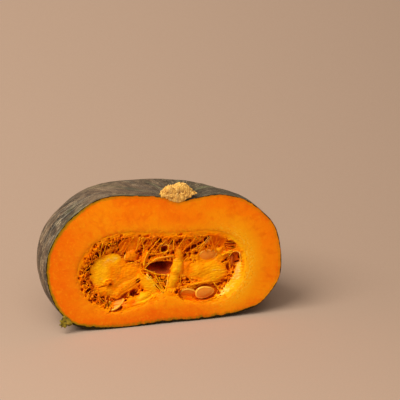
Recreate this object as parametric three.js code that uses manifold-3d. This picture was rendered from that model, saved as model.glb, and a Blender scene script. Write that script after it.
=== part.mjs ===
// Half of a kabocha squash, cut from stem to blossom end, standing upright on its own base.
// Millimetres, +Z up. The cut face looks along -Y, the rounded back is towards +Y, and the stem is on top.
// The origin is on the surface that it stands on, under the middle of its bounding box.

import * as THREE from "three";
import { mergeVertices } from "three/addons/utils/BufferGeometryUtils.js";
import Module from "manifold-3d";

const wasm = await Module();
wasm.setup();

// Driving dimensions

const BODY_DEPTH_SHARE = 1.04; // depth behind the cut over half the width, at each height
const RIGHT_LEAD = THREE.MathUtils.degToRad(2); // turn between the cut and the widest place behind it
const LEFT_LEAD = THREE.MathUtils.degToRad(14);
const LOBES_BEHIND_CUT = 5;
const GROOVE_DEPTH = 2.2;
const GROOVE_FADE = 0.35; // turn next to the cut over which the grooves fade out, in radians
const LEFT_SWELL = 5.5; // how much further the back left bulges
const BACK_RISE = 2.5; // how much higher the shoulder is at the back left
const FOOT_SHAVE = 0.5; // worn off the lowest ring, so that the half stands on a flat spot
const CAVITY_DEPTH_SHARE = 1.0;
const GAP = 0.35; // between pieces that touch
const PULP_SET_BACK = 0.4; // nothing in the cavity stands proud of the cut
const STEM_X = 10; // the stem is right of the middle
const SEED = { length: 17.5, width: 11.5, thickness: 3.6 };
const FLAP_THICKNESS = 1.6;
const BEYOND = 150; // further out than any place of the fruit

// Faces round and down each round form
const SKIN_GRID = [64, 34];
const CAVITY_GRID = [36, 18];
const STEM_GRID = [33, 10];
const SEED_GRID = [10, 6];

// Outlines in the cut plane, as x and z, from the pole under the stem to the pole at the blossom end.
// The right and left lists run in step, so that each pair of points makes one ring round the fruit.

const SKIN_RIGHT = [
  [STEM_X, 107], [24, 109.5], [42, 111.5], [58, 109], [75, 100.5], [91, 84.8],
  [98.6, 66.5], [100.3, 45], [96.5, 28.5], [84, 13], [67, 4.6], [48, 1.2], [28, 0], [8, 1.6],
];
const SKIN_LEFT = [
  [STEM_X, 107], [-4, 112.5], [-24, 115.5], [-43, 116.7], [-62, 111.5], [-82, 97],
  [-95.5, 77.5], [-100, 56], [-96.5, 33], [-87, 15.5], [-73, 4.2], [-52, 0.4], [-22, 0], [8, 1.6],
];
const CAVITY_RIGHT = [
  [2, 81], [22, 80.5], [43, 79.5], [60, 71], [68.5, 55],
  [67.5, 38], [58, 23.5], [43, 16.2], [24, 17], [0, 26],
];
const CAVITY_LEFT = [
  [2, 81], [-18, 83], [-40, 84], [-60, 77], [-72.5, 62],
  [-74.5, 46], [-67, 28.5], [-50, 15.8], [-28, 17], [0, 26],
];

// Solids and meshes

function solidFrom(geometry) {
  const bare = geometry.clone();
  bare.deleteAttribute("normal");
  bare.deleteAttribute("uv");
  const merged = mergeVertices(bare, 1e-4);
  return new wasm.Manifold(
    new wasm.Mesh({
      numProp: 3,
      vertProperties: merged.getAttribute("position").array,
      triVerts: new Uint32Array(merged.index.array),
    }),
  );
}

function meshFrom(solid, name, material) {
  const made = solid.getMesh();
  const geometry = new THREE.BufferGeometry();
  geometry.setAttribute("position", new THREE.BufferAttribute(made.vertProperties, 3));
  geometry.setIndex(new THREE.BufferAttribute(made.triVerts, 1));
  geometry.computeVertexNormals();
  const mesh = new THREE.Mesh(geometry, material);
  mesh.name = name;
  return mesh;
}

// Everything behind a depth and above a height.
function roomBehind(depth, height) {
  const geometry = new THREE.BoxGeometry(2 * BEYOND, BEYOND - depth, BEYOND - height);
  return solidFrom(geometry.translate(0, (BEYOND + depth) / 2, (BEYOND + height) / 2));
}

// A closed skin over a sphere's grid: pointAt gives the place for a share of the way down
// and an angle round +Z.
function roundGeometry([around, down], pointAt) {
  const geometry = new THREE.SphereGeometry(1, around, down);
  const position = geometry.getAttribute("position");
  const uv = geometry.getAttribute("uv");
  for (let i = 0; i < position.count; i += 1) {
    const share = 1 - uv.getY(i);
    // A pole's vertices carry shifted angles, but there every angle gives the same place.
    const angle = (uv.getX(i) + 0.5) * 2 * Math.PI;
    const point = pointAt(share, angle);
    position.setXYZ(i, point.x, point.y, point.z);
  }
  return geometry;
}

// The place on a fruit-like surface whose cut outline is given by its right and left halves.
function ringSurface(right, left, depthShare) {
  const rightCurve = new THREE.SplineCurve(right.map(([x, z]) => new THREE.Vector2(x, z)));
  const leftCurve = new THREE.SplineCurve(left.map(([x, z]) => new THREE.Vector2(x, z)));
  return (share, angle, swell = 0) => {
    const r = rightCurve.getPoint(share);
    const l = leftCurve.getPoint(share);
    const middle = (r.x + l.x) / 2;
    const half = (r.x - l.x) / 2;
    const lead = Math.cos(angle) < 0 ? LEFT_LEAD : RIGHT_LEAD;
    const across = Math.cos(angle) / Math.cos(lead);
    const back = (Math.sin(angle) + Math.sin(lead)) / (1 + Math.sin(lead));
    const rightness = THREE.MathUtils.clamp((1 + across) / 2, 0, 1);
    return new THREE.Vector3(
      middle + (half + swell) * across,
      (half + swell) * depthShare * back,
      r.y * rightness + l.y * (1 - rightness),
    );
  };
}

// Angle round the fruit, counted from the right end of the cut, from 0 to past a half turn at its left end.
function angleBehindCut(angle) {
  return THREE.MathUtils.euclideanModulo(angle + RIGHT_LEAD, 2 * Math.PI);
}
const BEHIND = Math.PI + RIGHT_LEAD + LEFT_LEAD;

// Rind and flesh

const skinAt = ringSurface(SKIN_RIGHT, SKIN_LEFT, BODY_DEPTH_SHARE);
const HALF_WIDTH = 100;

// Lobes with narrow grooves between them, fullest at the shoulder and gone at the cut and the poles.
function lobeOffset(share, angle) {
  const turn = angleBehindCut(angle);
  if (turn > BEHIND) {
    return 0;
  }
  const lobe = (turn / BEHIND) * LOBES_BEHIND_CUT;
  const fromGroove = Math.abs(((lobe + 0.5) % 1) - 0.5) * 2;
  const atCut = Math.min(1, turn / GROOVE_FADE, (BEHIND - turn) / GROOVE_FADE);
  const groove = -GROOVE_DEPTH * Math.pow(1 - fromGroove, 2.2) * atCut;
  const alongLeft = THREE.MathUtils.clamp((turn / BEHIND) * 2 - 1, 0, 1);
  const swell = LEFT_SWELL * Math.pow(Math.sin(Math.PI * alongLeft), 2);
  return (groove + swell) * Math.pow(Math.sin(Math.PI * share), 0.6);
}

function skinPoint(share, angle) {
  const point = skinAt(share, angle, lobeOffset(share, angle));
  const leftness = THREE.MathUtils.clamp(0.5 - point.x / (2 * HALF_WIDTH), 0, 1);
  const backness = THREE.MathUtils.clamp(point.y / HALF_WIDTH, 0, 1);
  point.z += BACK_RISE * Math.max(0, Math.sin(2 * Math.PI * share)) * leftness * backness;
  return point;
}

function squashHalf(stemSeat, cavity) {
  const whole = solidFrom(roundGeometry(SKIN_GRID, skinPoint));
  return whole.intersect(roomBehind(0, FOOT_SHAVE)).add(rindFlap()).subtract(cavity).subtract(stemSeat);
}

const RIND_FLAP = [
  [-82, 14], [-87.5, 15.5], [-90.5, 10], [-91.5, 5.2], [-88.5, 7.4], [-86.5, 5.6], [-80, 8],
];

// A torn sliver of rind at the lower left of the cut.
function rindFlap() {
  const shape = new THREE.Shape(RIND_FLAP.map(([x, z]) => new THREE.Vector2(x, z)));
  const geometry = new THREE.ExtrudeGeometry(shape, { depth: FLAP_THICKNESS, bevelEnabled: false });
  geometry.rotateX(Math.PI / 2).translate(0, FLAP_THICKNESS, 0);
  return solidFrom(geometry);
}

// Stem: a lumpy cork knob, cut through its middle, whose tip goes down into the flesh

const STEM_PROFILE = [
  [0, 106.8], [5, 108.2], [10.5, 110.6], [14, 113.8], [14.4, 116.8], [12.2, 119.4], [7, 120.9], [0, 121.2],
];
const STEM_RIDGES = 11;
const STEM_MIDDLE_Z = 114;

function stemGeometry(grow) {
  const profile = new THREE.SplineCurve(STEM_PROFILE.map(([r, z]) => new THREE.Vector2(r, z)));
  return roundGeometry(STEM_GRID, (share, angle) => {
    const p = profile.getPoint(1 - share);
    const lumps = 1 + 0.05 * Math.cos(STEM_RIDGES * angle) + 0.05 * Math.sin(3 * angle + 7 * share)
      + 0.03 * Math.cos(5 * angle - 4 * share);
    const radius = p.x > 0.01 ? Math.max(0, p.x) * lumps + grow : 0;
    const lift = Math.sign(p.y - STEM_MIDDLE_Z) * grow;
    return new THREE.Vector3(STEM_X + radius * Math.cos(angle), radius * Math.sin(angle), p.y + lift);
  });
}

function stemPiece() {
  return solidFrom(stemGeometry(0)).intersect(roomBehind(0, 0));
}

// Seed cavity

const cavityAt = ringSurface(CAVITY_RIGHT, CAVITY_LEFT, CAVITY_DEPTH_SHARE);
const cavityMiddle = new THREE.Vector3(-3, 30, 50);

function cavitySolid(inset) {
  return solidFrom(roundGeometry(CAVITY_GRID, (share, angle) => {
    const point = cavityAt(share, angle);
    const inward = cavityMiddle.clone().sub(point).normalize();
    return point.addScaledVector(inward, inset);
  }));
}

const OUTLINE_STEPS = 40;
const outlineShares = Array.from({ length: OUTLINE_STEPS + 1 }, (_, i) => i / OUTLINE_STEPS);
const cavityOutline = [
  ...outlineShares.map((share) => cavityAt(share, -RIGHT_LEAD)),
  ...outlineShares.map((share) => cavityAt(1 - share, Math.PI + LEFT_LEAD)),
];

// How far a place in the cut plane is from the flesh around the cavity.
function fromWall(x, z) {
  let nearest = Infinity;
  for (let i = 0; i < cavityOutline.length; i += 1) {
    const a = cavityOutline[i];
    const b = cavityOutline[(i + 1) % cavityOutline.length];
    const length2 = (b.x - a.x) ** 2 + (b.z - a.z) ** 2;
    const share = length2 > 0
      ? THREE.MathUtils.clamp(((x - a.x) * (b.x - a.x) + (z - a.z) * (b.z - a.z)) / length2, 0, 1)
      : 0;
    nearest = Math.min(nearest, Math.hypot(x - a.x - share * (b.x - a.x), z - a.z - share * (b.z - a.z)));
  }
  return nearest;
}

// Seeds, each lying in the pulp: place, turn in the cut plane, and lean out of it, in degrees

const SEEDS = [
  { x: 33.7, y: 5.0, z: 24.4, turn: 6, lean: 10, spin: 0 },
  { x: 20.6, y: 8.5, z: 23.4, turn: -18, lean: 32, spin: 8 },
  { x: 36.8, y: 7.5, z: 56.6, turn: 12, lean: 12, spin: -6 },
  { x: -43.3, y: 6.9, z: 20.6, turn: 24, lean: -64, spin: 0 },
  { x: 60.5, y: 10.5, z: 52.0, turn: 80, lean: 55, spin: 20 },
  { x: -28.5, y: 9.0, z: 62.0, turn: 55, lean: 24, spin: 0 },
  { x: -64.5, y: 13.0, z: 37.0, turn: 100, lean: 50, spin: 0 },
  { x: -58.0, y: 13.0, z: 71.0, turn: 45, lean: 50, spin: 0 },
  { x: 22.0, y: 13.0, z: 72.0, turn: 30, lean: 52, spin: 0 },
  { x: 49.5, y: 13.0, z: 32.0, turn: -40, lean: 50, spin: 0 },
  { x: -24.0, y: 13.0, z: 27.0, turn: -35, lean: 48, spin: 0 },
  { x: -36.0, y: 14.0, z: 78.0, turn: 5, lean: 60, spin: 0 },
];

// A flat drop, pointed at its root end.
function seedGeometry(place, grow) {
  const geometry = roundGeometry(SEED_GRID, (share, angle) => {
    const along = Math.cos(Math.PI * share);
    const girth = Math.sin(Math.PI * share) * (1 - 0.28 * along);
    return new THREE.Vector3(
      along * (SEED.length / 2 + grow),
      girth * Math.cos(angle) * (SEED.thickness / 2 + grow),
      girth * Math.sin(angle) * (SEED.width / 2 + grow),
    );
  });
  const degrees = THREE.MathUtils.degToRad;
  return geometry
    .rotateX(degrees(place.lean))
    .rotateZ(degrees(place.spin))
    .rotateY(-degrees(place.turn))
    .translate(place.x, place.y, place.z);
}

// Pulp: a solid filling whose front is a relief of pads and crevices, with strands across them

const FRONT_COLUMNS = 38;
const FRONT_ROWS = 20;
const RIM_DEPTH = 2.4;
const CREVICE_DEPTH = 13;
const PADS = [
  { x: -45.2, z: 49.2, across: 22, up: 20, depth: 5.2, drop: 3.2 },
  { x: 37, z: 44.5, across: 23, up: 14, depth: 5.6, drop: 3 },
];
const CORE_HOLLOW = { x: -5, z: 49.2, across: 12.8, up: 6.2, depth: 52 };

// The depth of the pulp's front behind the cut plane.
function pulpDepth(x, z) {
  const wall = fromWall(x, z);
  const ripple = 1.3 * Math.sin(0.55 * x + 1.1) * Math.cos(0.5 * z) + 0.8 * Math.sin(0.31 * (x + 2 * z));
  let depth = CREVICE_DEPTH + ripple;
  depth = Math.min(depth, RIM_DEPTH + Math.max(0, wall - 2.4) * 3.2);
  for (const pad of PADS) {
    const e = Math.hypot((x - pad.x) / pad.across, (z - pad.z) / pad.up);
    depth = Math.min(depth, pad.depth + pad.drop * e * e + Math.max(0, e - 1) * 50);
  }
  for (const seed of SEEDS) {
    const e = Math.hypot(x - seed.x, z - seed.z) / (0.5 * SEED.length);
    depth = Math.min(depth, seed.y + 0.6 + Math.max(0, e - 0.9) * 16);
  }
  return depth;
}

// A block over the whole front, whose rear face is the relief.
function frontCutter() {
  const low = new THREE.Vector3(-82, -20, 10);
  const high = new THREE.Vector3(76, 20, 90);
  const size = high.clone().sub(low);
  const geometry = new THREE.BoxGeometry(size.x, size.y, size.z, FRONT_COLUMNS, 1, FRONT_ROWS);
  geometry.translate((low.x + high.x) / 2, 0, (low.z + high.z) / 2);
  const position = geometry.getAttribute("position");
  for (let i = 0; i < position.count; i += 1) {
    if (position.getY(i) > 0) {
      position.setY(i, pulpDepth(position.getX(i), position.getZ(i)));
    }
  }
  return solidFrom(geometry);
}

function coreHollow() {
  const { x, z, across, up, depth } = CORE_HOLLOW;
  const geometry = new THREE.SphereGeometry(1, 16, 10);
  geometry.scale(across, up, depth).rotateX(Math.PI / 2).rotateY(0.1).translate(x, 0, z);
  return solidFrom(geometry);
}

// Small seeded generator, so that every run places the strands alike.
function seededRandom(seed) {
  let state = seed;
  return () => {
    state = (state * 1664525 + 1013904223) % 4294967296;
    return state / 4294967296;
  };
}

function strand(from, to, bow, radius) {
  const middle = from.clone().add(to).multiplyScalar(0.5);
  middle.y += bow;
  const path = new THREE.QuadraticBezierCurve3(from, middle, to);
  const corners = [0, 1, 2].map((i) => {
    const angle = (i * 2 * Math.PI) / 3;
    return new THREE.Vector2(radius * Math.cos(angle), radius * Math.sin(angle));
  });
  return solidFrom(new THREE.ExtrudeGeometry(new THREE.Shape(corners), { steps: 2, extrudePath: path }));
}

function at(x, y, z) {
  return new THREE.Vector3(x, y, z);
}

// Short strands from the rim of the cavity across the crevice to each pad.
function rimStrands(pad, startDegrees, endDegrees, step, random) {
  const made = [];
  for (let degrees = startDegrees; degrees < endDegrees; degrees += step) {
    const angle = THREE.MathUtils.degToRad(degrees + (random() - 0.5) * step * 0.6);
    const skew = (random() - 0.5) * 0.22;
    const inner = at(
      pad.x + pad.across * 0.93 * Math.cos(angle + skew), 0,
      pad.z + pad.up * 0.93 * Math.sin(angle + skew),
    );
    inner.y = pad.depth + pad.drop + 0.4;
    let reach = 1;
    const rim = inner.clone();
    while (fromWall(rim.x, rim.z) > 1.4 && reach < 1.9) {
      reach += 0.02;
      rim.x = pad.x + pad.across * reach * Math.cos(angle);
      rim.z = pad.z + pad.up * reach * Math.sin(angle);
    }
    rim.y = RIM_DEPTH + 1;
    made.push(strand(rim, inner, -1 + 3 * random(), 0.6 + 0.35 * random()));
  }
  return made;
}

// Crossed strands between the top wall and the hollow, and a fan under it that meets at one foot.
function coreStrands(random) {
  const made = [];
  const count = 8;
  for (let i = 0; i < count; i += 1) {
    const share = (i + 0.5) / count;
    const top = at(-24 + 46 * share, RIM_DEPTH + 1.4, 79.5);
    const lean = i % 2 ? -11 : 9;
    const foot = at(-18 + 32 * share + lean * (0.6 + 0.6 * random()), 12.5, 55.5 + 4.5 * random());
    made.push(strand(top, foot, -5 + 2 * random(), 0.75 + 0.4 * random()));
  }
  const fan = 6;
  for (let i = 0; i < fan; i += 1) {
    const share = i / (fan - 1);
    const foot = at(-1.5 + 3 * (share - 0.5), 4.5, 27);
    const top = at(-18 + 26 * share, 13, 41 + 3 * Math.abs(share - 0.5));
    made.push(strand(foot, top, -4 + 2 * random(), 0.7 + 0.3 * random()));
  }
  made.push(strand(at(11, 12.5, 58), at(3, 5, 28), -6, 2.4));
  made.push(strand(at(-18, 13, 48), at(-38, 13, 26), -9, 1.7));
  made.push(strand(at(-18, 13, 49), at(-20, 13, 72), -9, 1.5));
  made.push(strand(at(-18, 13, 54), at(12, 13, 58.5), -8, 1.4));
  return made;
}

// Fibres that lie along the right pad, and slanting ones over the crevice above it.
function rightPadStrands(random) {
  const made = [];
  const pad = PADS[1];
  for (let i = 0; i < 5; i += 1) {
    const z = 36 + 4.3 * i;
    const half = pad.across * Math.sqrt(Math.max(0, 1 - ((z - pad.z) / pad.up) ** 2));
    const depth = pad.depth + pad.drop;
    made.push(strand(
      at(pad.x - half - 3, depth + 2, z + 2 * (random() - 0.5)),
      at(pad.x + half + 1, depth + 1, z + 2 * (random() - 0.5)),
      -2 * depth + 2 * pad.depth - 2.6, 0.8,
    ));
  }
  for (let i = 0; i < 5; i += 1) {
    const low = at(14 + 4 * i, 12.5, 54.5 + 1.5 * i);
    const high = at(28 + 5 * i, RIM_DEPTH + 1.4, 78.5 - 0.4 * i);
    made.push(strand(low, high, -4, 0.8));
  }
  return made;
}

function pulpPiece(seedBeds) {
  const random = seededRandom(41);
  const room = cavitySolid(GAP).intersect(roomBehind(PULP_SET_BACK, 0));
  let pulp = room.subtract(frontCutter()).subtract(coreHollow());
  const strands = [
    ...rimStrands(PADS[0], 20, 305, 12, random),
    ...rimStrands(PADS[1], -75, 150, 15, random),
    ...coreStrands(random),
    ...rightPadStrands(random),
  ];
  for (const piece of strands) {
    pulp = pulp.add(piece.intersect(room));
  }
  for (const bed of seedBeds) {
    pulp = pulp.subtract(bed);
  }
  return largest(pulp);
}

// The main body of a solid, without loose scraps.
function largest(solid) {
  return solid.decompose().sort((a, b) => b.volume() - a.volume())[0];
}

// Finishes

const flesh = new THREE.MeshStandardMaterial({ color: 0xf08418, roughness: 0.5, metalness: 0 });
const cork = new THREE.MeshStandardMaterial({ color: 0xcfa765, roughness: 0.9, metalness: 0 });
const fibre = new THREE.MeshStandardMaterial({ color: 0xf29a22, roughness: 0.4, metalness: 0 });
const hull = new THREE.MeshStandardMaterial({ color: 0xe0b176, roughness: 0.5, metalness: 0 });

// The object

const squash = new THREE.Group();
const stemSeat = solidFrom(stemGeometry(GAP));
const seedBeds = SEEDS.map((place) => solidFrom(seedGeometry(place, GAP)));
squash.add(meshFrom(largest(squashHalf(stemSeat, cavitySolid(0))), "squash_half", flesh));
squash.add(meshFrom(largest(stemPiece()), "stem", cork));
squash.add(meshFrom(pulpPiece(seedBeds), "pulp", fibre));
SEEDS.forEach((place, i) => {
  const name = "seed_" + String(i + 1).padStart(2, "0");
  squash.add(meshFrom(solidFrom(seedGeometry(place, 0)), name, hull));
});

const bounds = new THREE.Box3().setFromObject(squash);
squash.position.set(-(bounds.min.x + bounds.max.x) / 2, -(bounds.min.y + bounds.max.y) / 2, -bounds.min.z);

export default squash;
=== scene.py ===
"""Halved kabocha squash: the finished look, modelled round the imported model.

Metres, +Z up. The cut face looks along -Y, the rounded back is towards +Y, and the stem is on top.
Outlines and places on the cut face are in millimetres on the cut plane, from the middle of the cut.
"""

import math
import random

import bpy
import numpy as np
from mathutils import Matrix, Vector, noise


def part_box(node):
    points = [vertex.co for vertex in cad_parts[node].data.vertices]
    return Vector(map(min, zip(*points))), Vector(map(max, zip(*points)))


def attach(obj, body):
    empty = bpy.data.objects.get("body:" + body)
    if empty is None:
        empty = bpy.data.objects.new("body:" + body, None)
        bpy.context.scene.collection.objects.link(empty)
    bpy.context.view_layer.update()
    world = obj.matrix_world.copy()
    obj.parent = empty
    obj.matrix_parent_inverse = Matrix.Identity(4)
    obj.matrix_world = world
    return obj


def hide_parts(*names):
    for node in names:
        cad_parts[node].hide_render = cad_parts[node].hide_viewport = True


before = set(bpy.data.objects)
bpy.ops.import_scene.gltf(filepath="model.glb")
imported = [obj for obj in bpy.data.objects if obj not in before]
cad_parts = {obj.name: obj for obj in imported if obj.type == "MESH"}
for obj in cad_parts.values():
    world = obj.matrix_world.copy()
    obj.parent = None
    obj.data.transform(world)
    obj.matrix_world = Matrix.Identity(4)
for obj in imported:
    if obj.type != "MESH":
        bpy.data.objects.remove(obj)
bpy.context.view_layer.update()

bl_info = {
    "name": "Halved kabocha squash",
    "version": (1, 0, 0),
    "blender": (4, 5, 0),
    "location": "View3D > Sidebar > Squash",
    "description": "Models a kabocha squash cut in half, with its pulp, seeds and stem",
    "category": "Add Mesh",
}

BODY = "root"
MM = 0.001
UPRIGHT = (math.pi / 2, 0, 0)  # turns a primitive to lie on the cut plane

# Form of the fruit, in millimetres on the cut plane, as x and z, from the stem to the blossom end

RIGHT_LEAD = math.radians(2)  # turn between the cut and the widest place behind it
LEFT_LEAD = math.radians(14)
BEHIND = math.pi + RIGHT_LEAD + LEFT_LEAD
DEPTH_SHARE = 1.04
HALF_WIDTH = 100
HALF_HEIGHT = 57
GROOVE_FADE = 0.35  # turn next to the cut over which the grooves fade out, in radians
LEFT_SWELL = 5.5
BACK_RISE = 2.5
FOOT_SHAVE = 0.5

SKIN_RIGHT = [
    (10, 107), (24, 109.5), (42, 111.5), (58, 109), (75, 100.5), (91, 84.8), (98.6, 66.5),
    (100.3, 45), (96.5, 28.5), (84, 13), (67, 4.6), (48, 1.2), (28, 0), (8, 1.6),
]
SKIN_LEFT = [
    (10, 107), (-4, 112.5), (-24, 115.5), (-43, 116.7), (-62, 111.5), (-82, 97), (-95.5, 77.5),
    (-100, 56), (-96.5, 33), (-87, 15.5), (-73, 4.2), (-52, 0.4), (-22, 0), (8, 1.6),
]
CAVITY_RIGHT = [
    (2, 81), (22, 80.5), (43, 79.5), (60, 71), (68.5, 55), (67.5, 38), (58, 23.5), (43, 16.2),
    (24, 17), (0, 26),
]
CAVITY_LEFT = [
    (2, 81), (-18, 83), (-40, 84), (-60, 77), (-72.5, 62), (-74.5, 46), (-67, 28.5), (-50, 15.8),
    (-28, 17), (0, 26),
]
CAVITY_MIDDLE = (-3.0, 49.0)


def curve_points(points, share):
    """Smooth curve through the points, at each share of its way."""
    points = np.asarray(points, float)
    last = len(points) - 1
    along = np.clip(share, 0, 1) * last
    start = np.minimum(along.astype(int), last)
    w = (along - start)[..., None]
    before, here = points[np.maximum(start - 1, 0)], points[start]
    after, beyond = points[np.minimum(start + 1, last)], points[np.minimum(start + 2, last)]
    leave, reach = (after - before) / 2, (beyond - here) / 2
    return (
        (2 * here - 2 * after + leave + reach) * w**3
        + (3 * after - 3 * here - 2 * leave - reach) * w**2
        + leave * w
        + here
    )


def lobe_offset(share, turn, lobes, groove):
    """Swelling of the skin between the ribs, for a share down the fruit and of the turn behind the cut."""
    from_groove = np.abs((turn * lobes + 0.5) % 1 - 0.5) * 2
    at_cut = np.minimum(1, np.minimum(turn, 1 - turn) * BEHIND / GROOVE_FADE)
    ribs = -groove * (1 - from_groove) ** 2.2 * at_cut
    swell = LEFT_SWELL * np.sin(math.pi * np.clip(turn * 2 - 1, 0, 1)) ** 2
    return (ribs + swell) * np.clip(np.sin(math.pi * share), 0, 1) ** 0.6


def half_shell(right, left, depth_share, around, inward, offset=None):
    """Places behind the cut on a fruit-like surface: around is the direction seen from the front,
    and inward goes from 0 on the cut to 1 at the furthest place behind it."""
    level = np.cos(inward * math.pi / 2)
    across, up = level * np.cos(around), level * np.sin(around)
    behind = np.sin(inward * math.pi / 2)
    share = 0.5 - np.arcsin(np.clip(up, -1, 1)) / math.pi
    turn = np.arctan2(behind, across) / math.pi
    angle = turn * BEHIND - RIGHT_LEAD
    lead = np.where(np.cos(angle) < 0, LEFT_LEAD, RIGHT_LEAD)
    on_right, on_left = curve_points(right, share), curve_points(left, share)
    middle = (on_right[..., 0] + on_left[..., 0]) / 2
    half = (on_right[..., 0] - on_left[..., 0]) / 2
    if offset is not None:
        half = half + offset(share, turn)
    side = np.cos(angle) / np.cos(lead)
    back = (np.sin(angle) + np.sin(lead)) / (1 + np.sin(lead))
    rightness = np.clip((1 + side) / 2, 0, 1)
    up = on_right[..., 1] * rightness + on_left[..., 1] * (1 - rightness)
    places = np.stack([middle + half * side, half * depth_share * back, up], axis=-1)
    return places, share, turn


def sample(function, places, size):
    """A noise function's value at each place, for features of about that size."""
    return np.array([function(Vector(place)) for place in np.asarray(places) / size])


def flat(x, z, layer=0.0):
    """Places on the cut plane as rows of x, layer and z."""
    return np.stack([x, np.full_like(x, layer), z], axis=-1)


def soft_step(low, high, value):
    share = np.clip((value - low) / (high - low), 0, 1)
    return share * share * (3 - 2 * share)


def distance_to_line(x, z, line):
    """Distance of each place on the cut plane from a closed line of points."""
    nearest = np.full(x.shape, np.inf)
    for (ax, az), (bx, bz) in zip(line, np.roll(line, -1, axis=0)):
        dx, dz = bx - ax, bz - az
        length = max(dx * dx + dz * dz, 1e-9)
        share = np.clip(((x - ax) * dx + (z - az) * dz) / length, 0, 1)
        nearest = np.minimum(nearest, np.hypot(x - ax - share * dx, z - az - share * dz))
    return nearest


def outline(right, left, count):
    around = np.linspace(0, 2 * math.pi, count, endpoint=False)
    places, _, _ = half_shell(right, left, 1, around, np.zeros_like(around))
    return places[:, [0, 2]]


CAVITY_LINE = outline(CAVITY_RIGHT, CAVITY_LEFT, 160)

# The cut plane's place in the frame

HALF_LOW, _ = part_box("squash_half")
CUT_Y = HALF_LOW.y
STEM_LOW, STEM_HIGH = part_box("stem")
STEM_X = 10
MIDDLE_X = -STEM_X * MM + (STEM_LOW.x + STEM_HIGH.x) / 2


def to_frame(places):
    """Metres in the frame for places in millimetres: across the cut, behind it, and up."""
    places = np.asarray(places, float) * MM
    return places + np.array([MIDDLE_X, CUT_Y, -FOOT_SHAVE * MM])


def frame_place(x, behind, z):
    return Vector(to_frame([x, behind, z]))


VIEW_PLACE = np.array([-170.2, -767.2, 335.0])  # the camera's place, in millimetres
SIGHT_REACH = 11  # how far behind the cut a place is still shifted along the line of sight


def in_sight(x, depth, z):
    """Places at some depth behind the cut that the camera sees at x and z on the cut."""
    reach = np.minimum(depth, SIGHT_REACH) / -VIEW_PLACE[1]
    return np.stack([x + reach * (x - VIEW_PLACE[0]), depth, z + reach * (z - VIEW_PLACE[2])], axis=-1)


# Shared modelling steps


def deselect():
    if bpy.context.object and bpy.context.object.mode != "OBJECT":
        bpy.ops.object.mode_set(mode="OBJECT")
    bpy.ops.object.select_all(action="DESELECT")


def take(piece):
    deselect()
    piece.select_set(True)
    bpy.context.view_layer.objects.active = piece
    return piece


def added(name):
    """The primitive that was just added, named, with its place in its mesh."""
    piece = bpy.context.object
    piece.name = name
    piece.data.name = name
    bpy.ops.object.transform_apply(location=True, rotation=True, scale=True)
    return piece


def places_of(piece):
    flat_list = np.empty(len(piece.data.vertices) * 3)
    piece.data.vertices.foreach_get("co", flat_list)
    return flat_list.reshape(-1, 3)


def move_to(piece, places):
    piece.data.vertices.foreach_set("co", np.asarray(places, float).ravel())
    piece.data.update()


def store(piece, name, values):
    attribute = piece.data.attributes.new(name, "FLOAT", "POINT")
    attribute.data.foreach_set("value", np.asarray(values, float))


def pick_edges(piece, chosen):
    """Enters edit mode with the edges selected whose two ends the test accepts."""
    take(piece)
    bpy.ops.object.mode_set(mode="EDIT")
    bpy.ops.mesh.select_mode(type="EDGE")
    bpy.ops.mesh.select_all(action="DESELECT")
    bpy.ops.object.mode_set(mode="OBJECT")
    for edge in piece.data.edges:
        edge.select = chosen(*[piece.data.vertices[i].co for i in edge.vertices])
    bpy.ops.object.mode_set(mode="EDIT")


def apply_modifier(piece, kind, **settings):
    take(piece)
    modifier = piece.modifiers.new(kind.title(), kind)
    for name, value in settings.items():
        setattr(modifier, name, value)
    bpy.ops.object.modifier_apply(modifier=modifier.name)


def face_outwards(piece):
    take(piece)
    bpy.ops.object.mode_set(mode="EDIT")
    bpy.ops.mesh.select_all(action="SELECT")
    bpy.ops.mesh.normals_make_consistent(inside=False)
    bpy.ops.object.mode_set(mode="OBJECT")


def copy_of(model):
    """A copy of the model in the scene, with a mesh of its own."""
    piece = model.copy()
    piece.data = model.data.copy()
    bpy.context.collection.objects.link(piece)
    return piece


def settle(piece, slot, *nodes):
    """Rides the piece on the part and hides the imported parts it stands for."""
    take(piece)
    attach(piece, BODY)
    if nodes:
        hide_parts(*nodes)
    deselect()
    return piece


# Shared shader steps


def feed(tree, socket, value):
    if isinstance(value, bpy.types.NodeSocket):
        tree.links.new(value, socket)
    else:
        socket.default_value = value


def node(tree, kind, inputs=None, **settings):
    made = tree.nodes.new("ShaderNode" + kind)
    for name, value in settings.items():
        setattr(made, name, value)
    for name, value in (inputs or {}).items():
        feed(tree, made.inputs[name], value)
    return made


def noise_value(tree, vector, scale, detail=2.0, roughness=0.5, distortion=0.0):
    inputs = {"Vector": vector, "Scale": scale, "Detail": detail}
    inputs.update({"Roughness": roughness, "Distortion": distortion})
    return node(tree, "TexNoise", inputs).outputs["Fac"]


def cells(tree, vector, scale):
    return node(tree, "TexVoronoi", {"Vector": vector, "Scale": scale}).outputs["Distance"]


def maths(tree, operation, a, b=0.0):
    return node(tree, "Math", {0: a, 1: b}, operation=operation).outputs[0]


def product(tree, first, *others):
    for other in others:
        first = maths(tree, "MULTIPLY", first, other)
    return first


def total(tree, first, *others):
    for other in others:
        first = maths(tree, "ADD", first, other)
    return first


def between(tree, value, low, high, to_low=0.0, to_high=1.0):
    inputs = {"Value": value, "From Min": low, "From Max": high, "To Min": to_low, "To Max": to_high}
    return node(tree, "MapRange", inputs, interpolation_type="SMOOTHSTEP").outputs["Result"]


def blend(tree, share, a, b):
    made = node(tree, "Mix", data_type="RGBA")
    feed(tree, made.inputs[0], share)
    feed(tree, made.inputs[6], a)
    feed(tree, made.inputs[7], b)
    return made.outputs[2]


def attribute(tree, name):
    return node(tree, "Attribute", attribute_name=name).outputs["Fac"]


def object_place(tree):
    return node(tree, "TexCoord").outputs["Object"]


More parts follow.
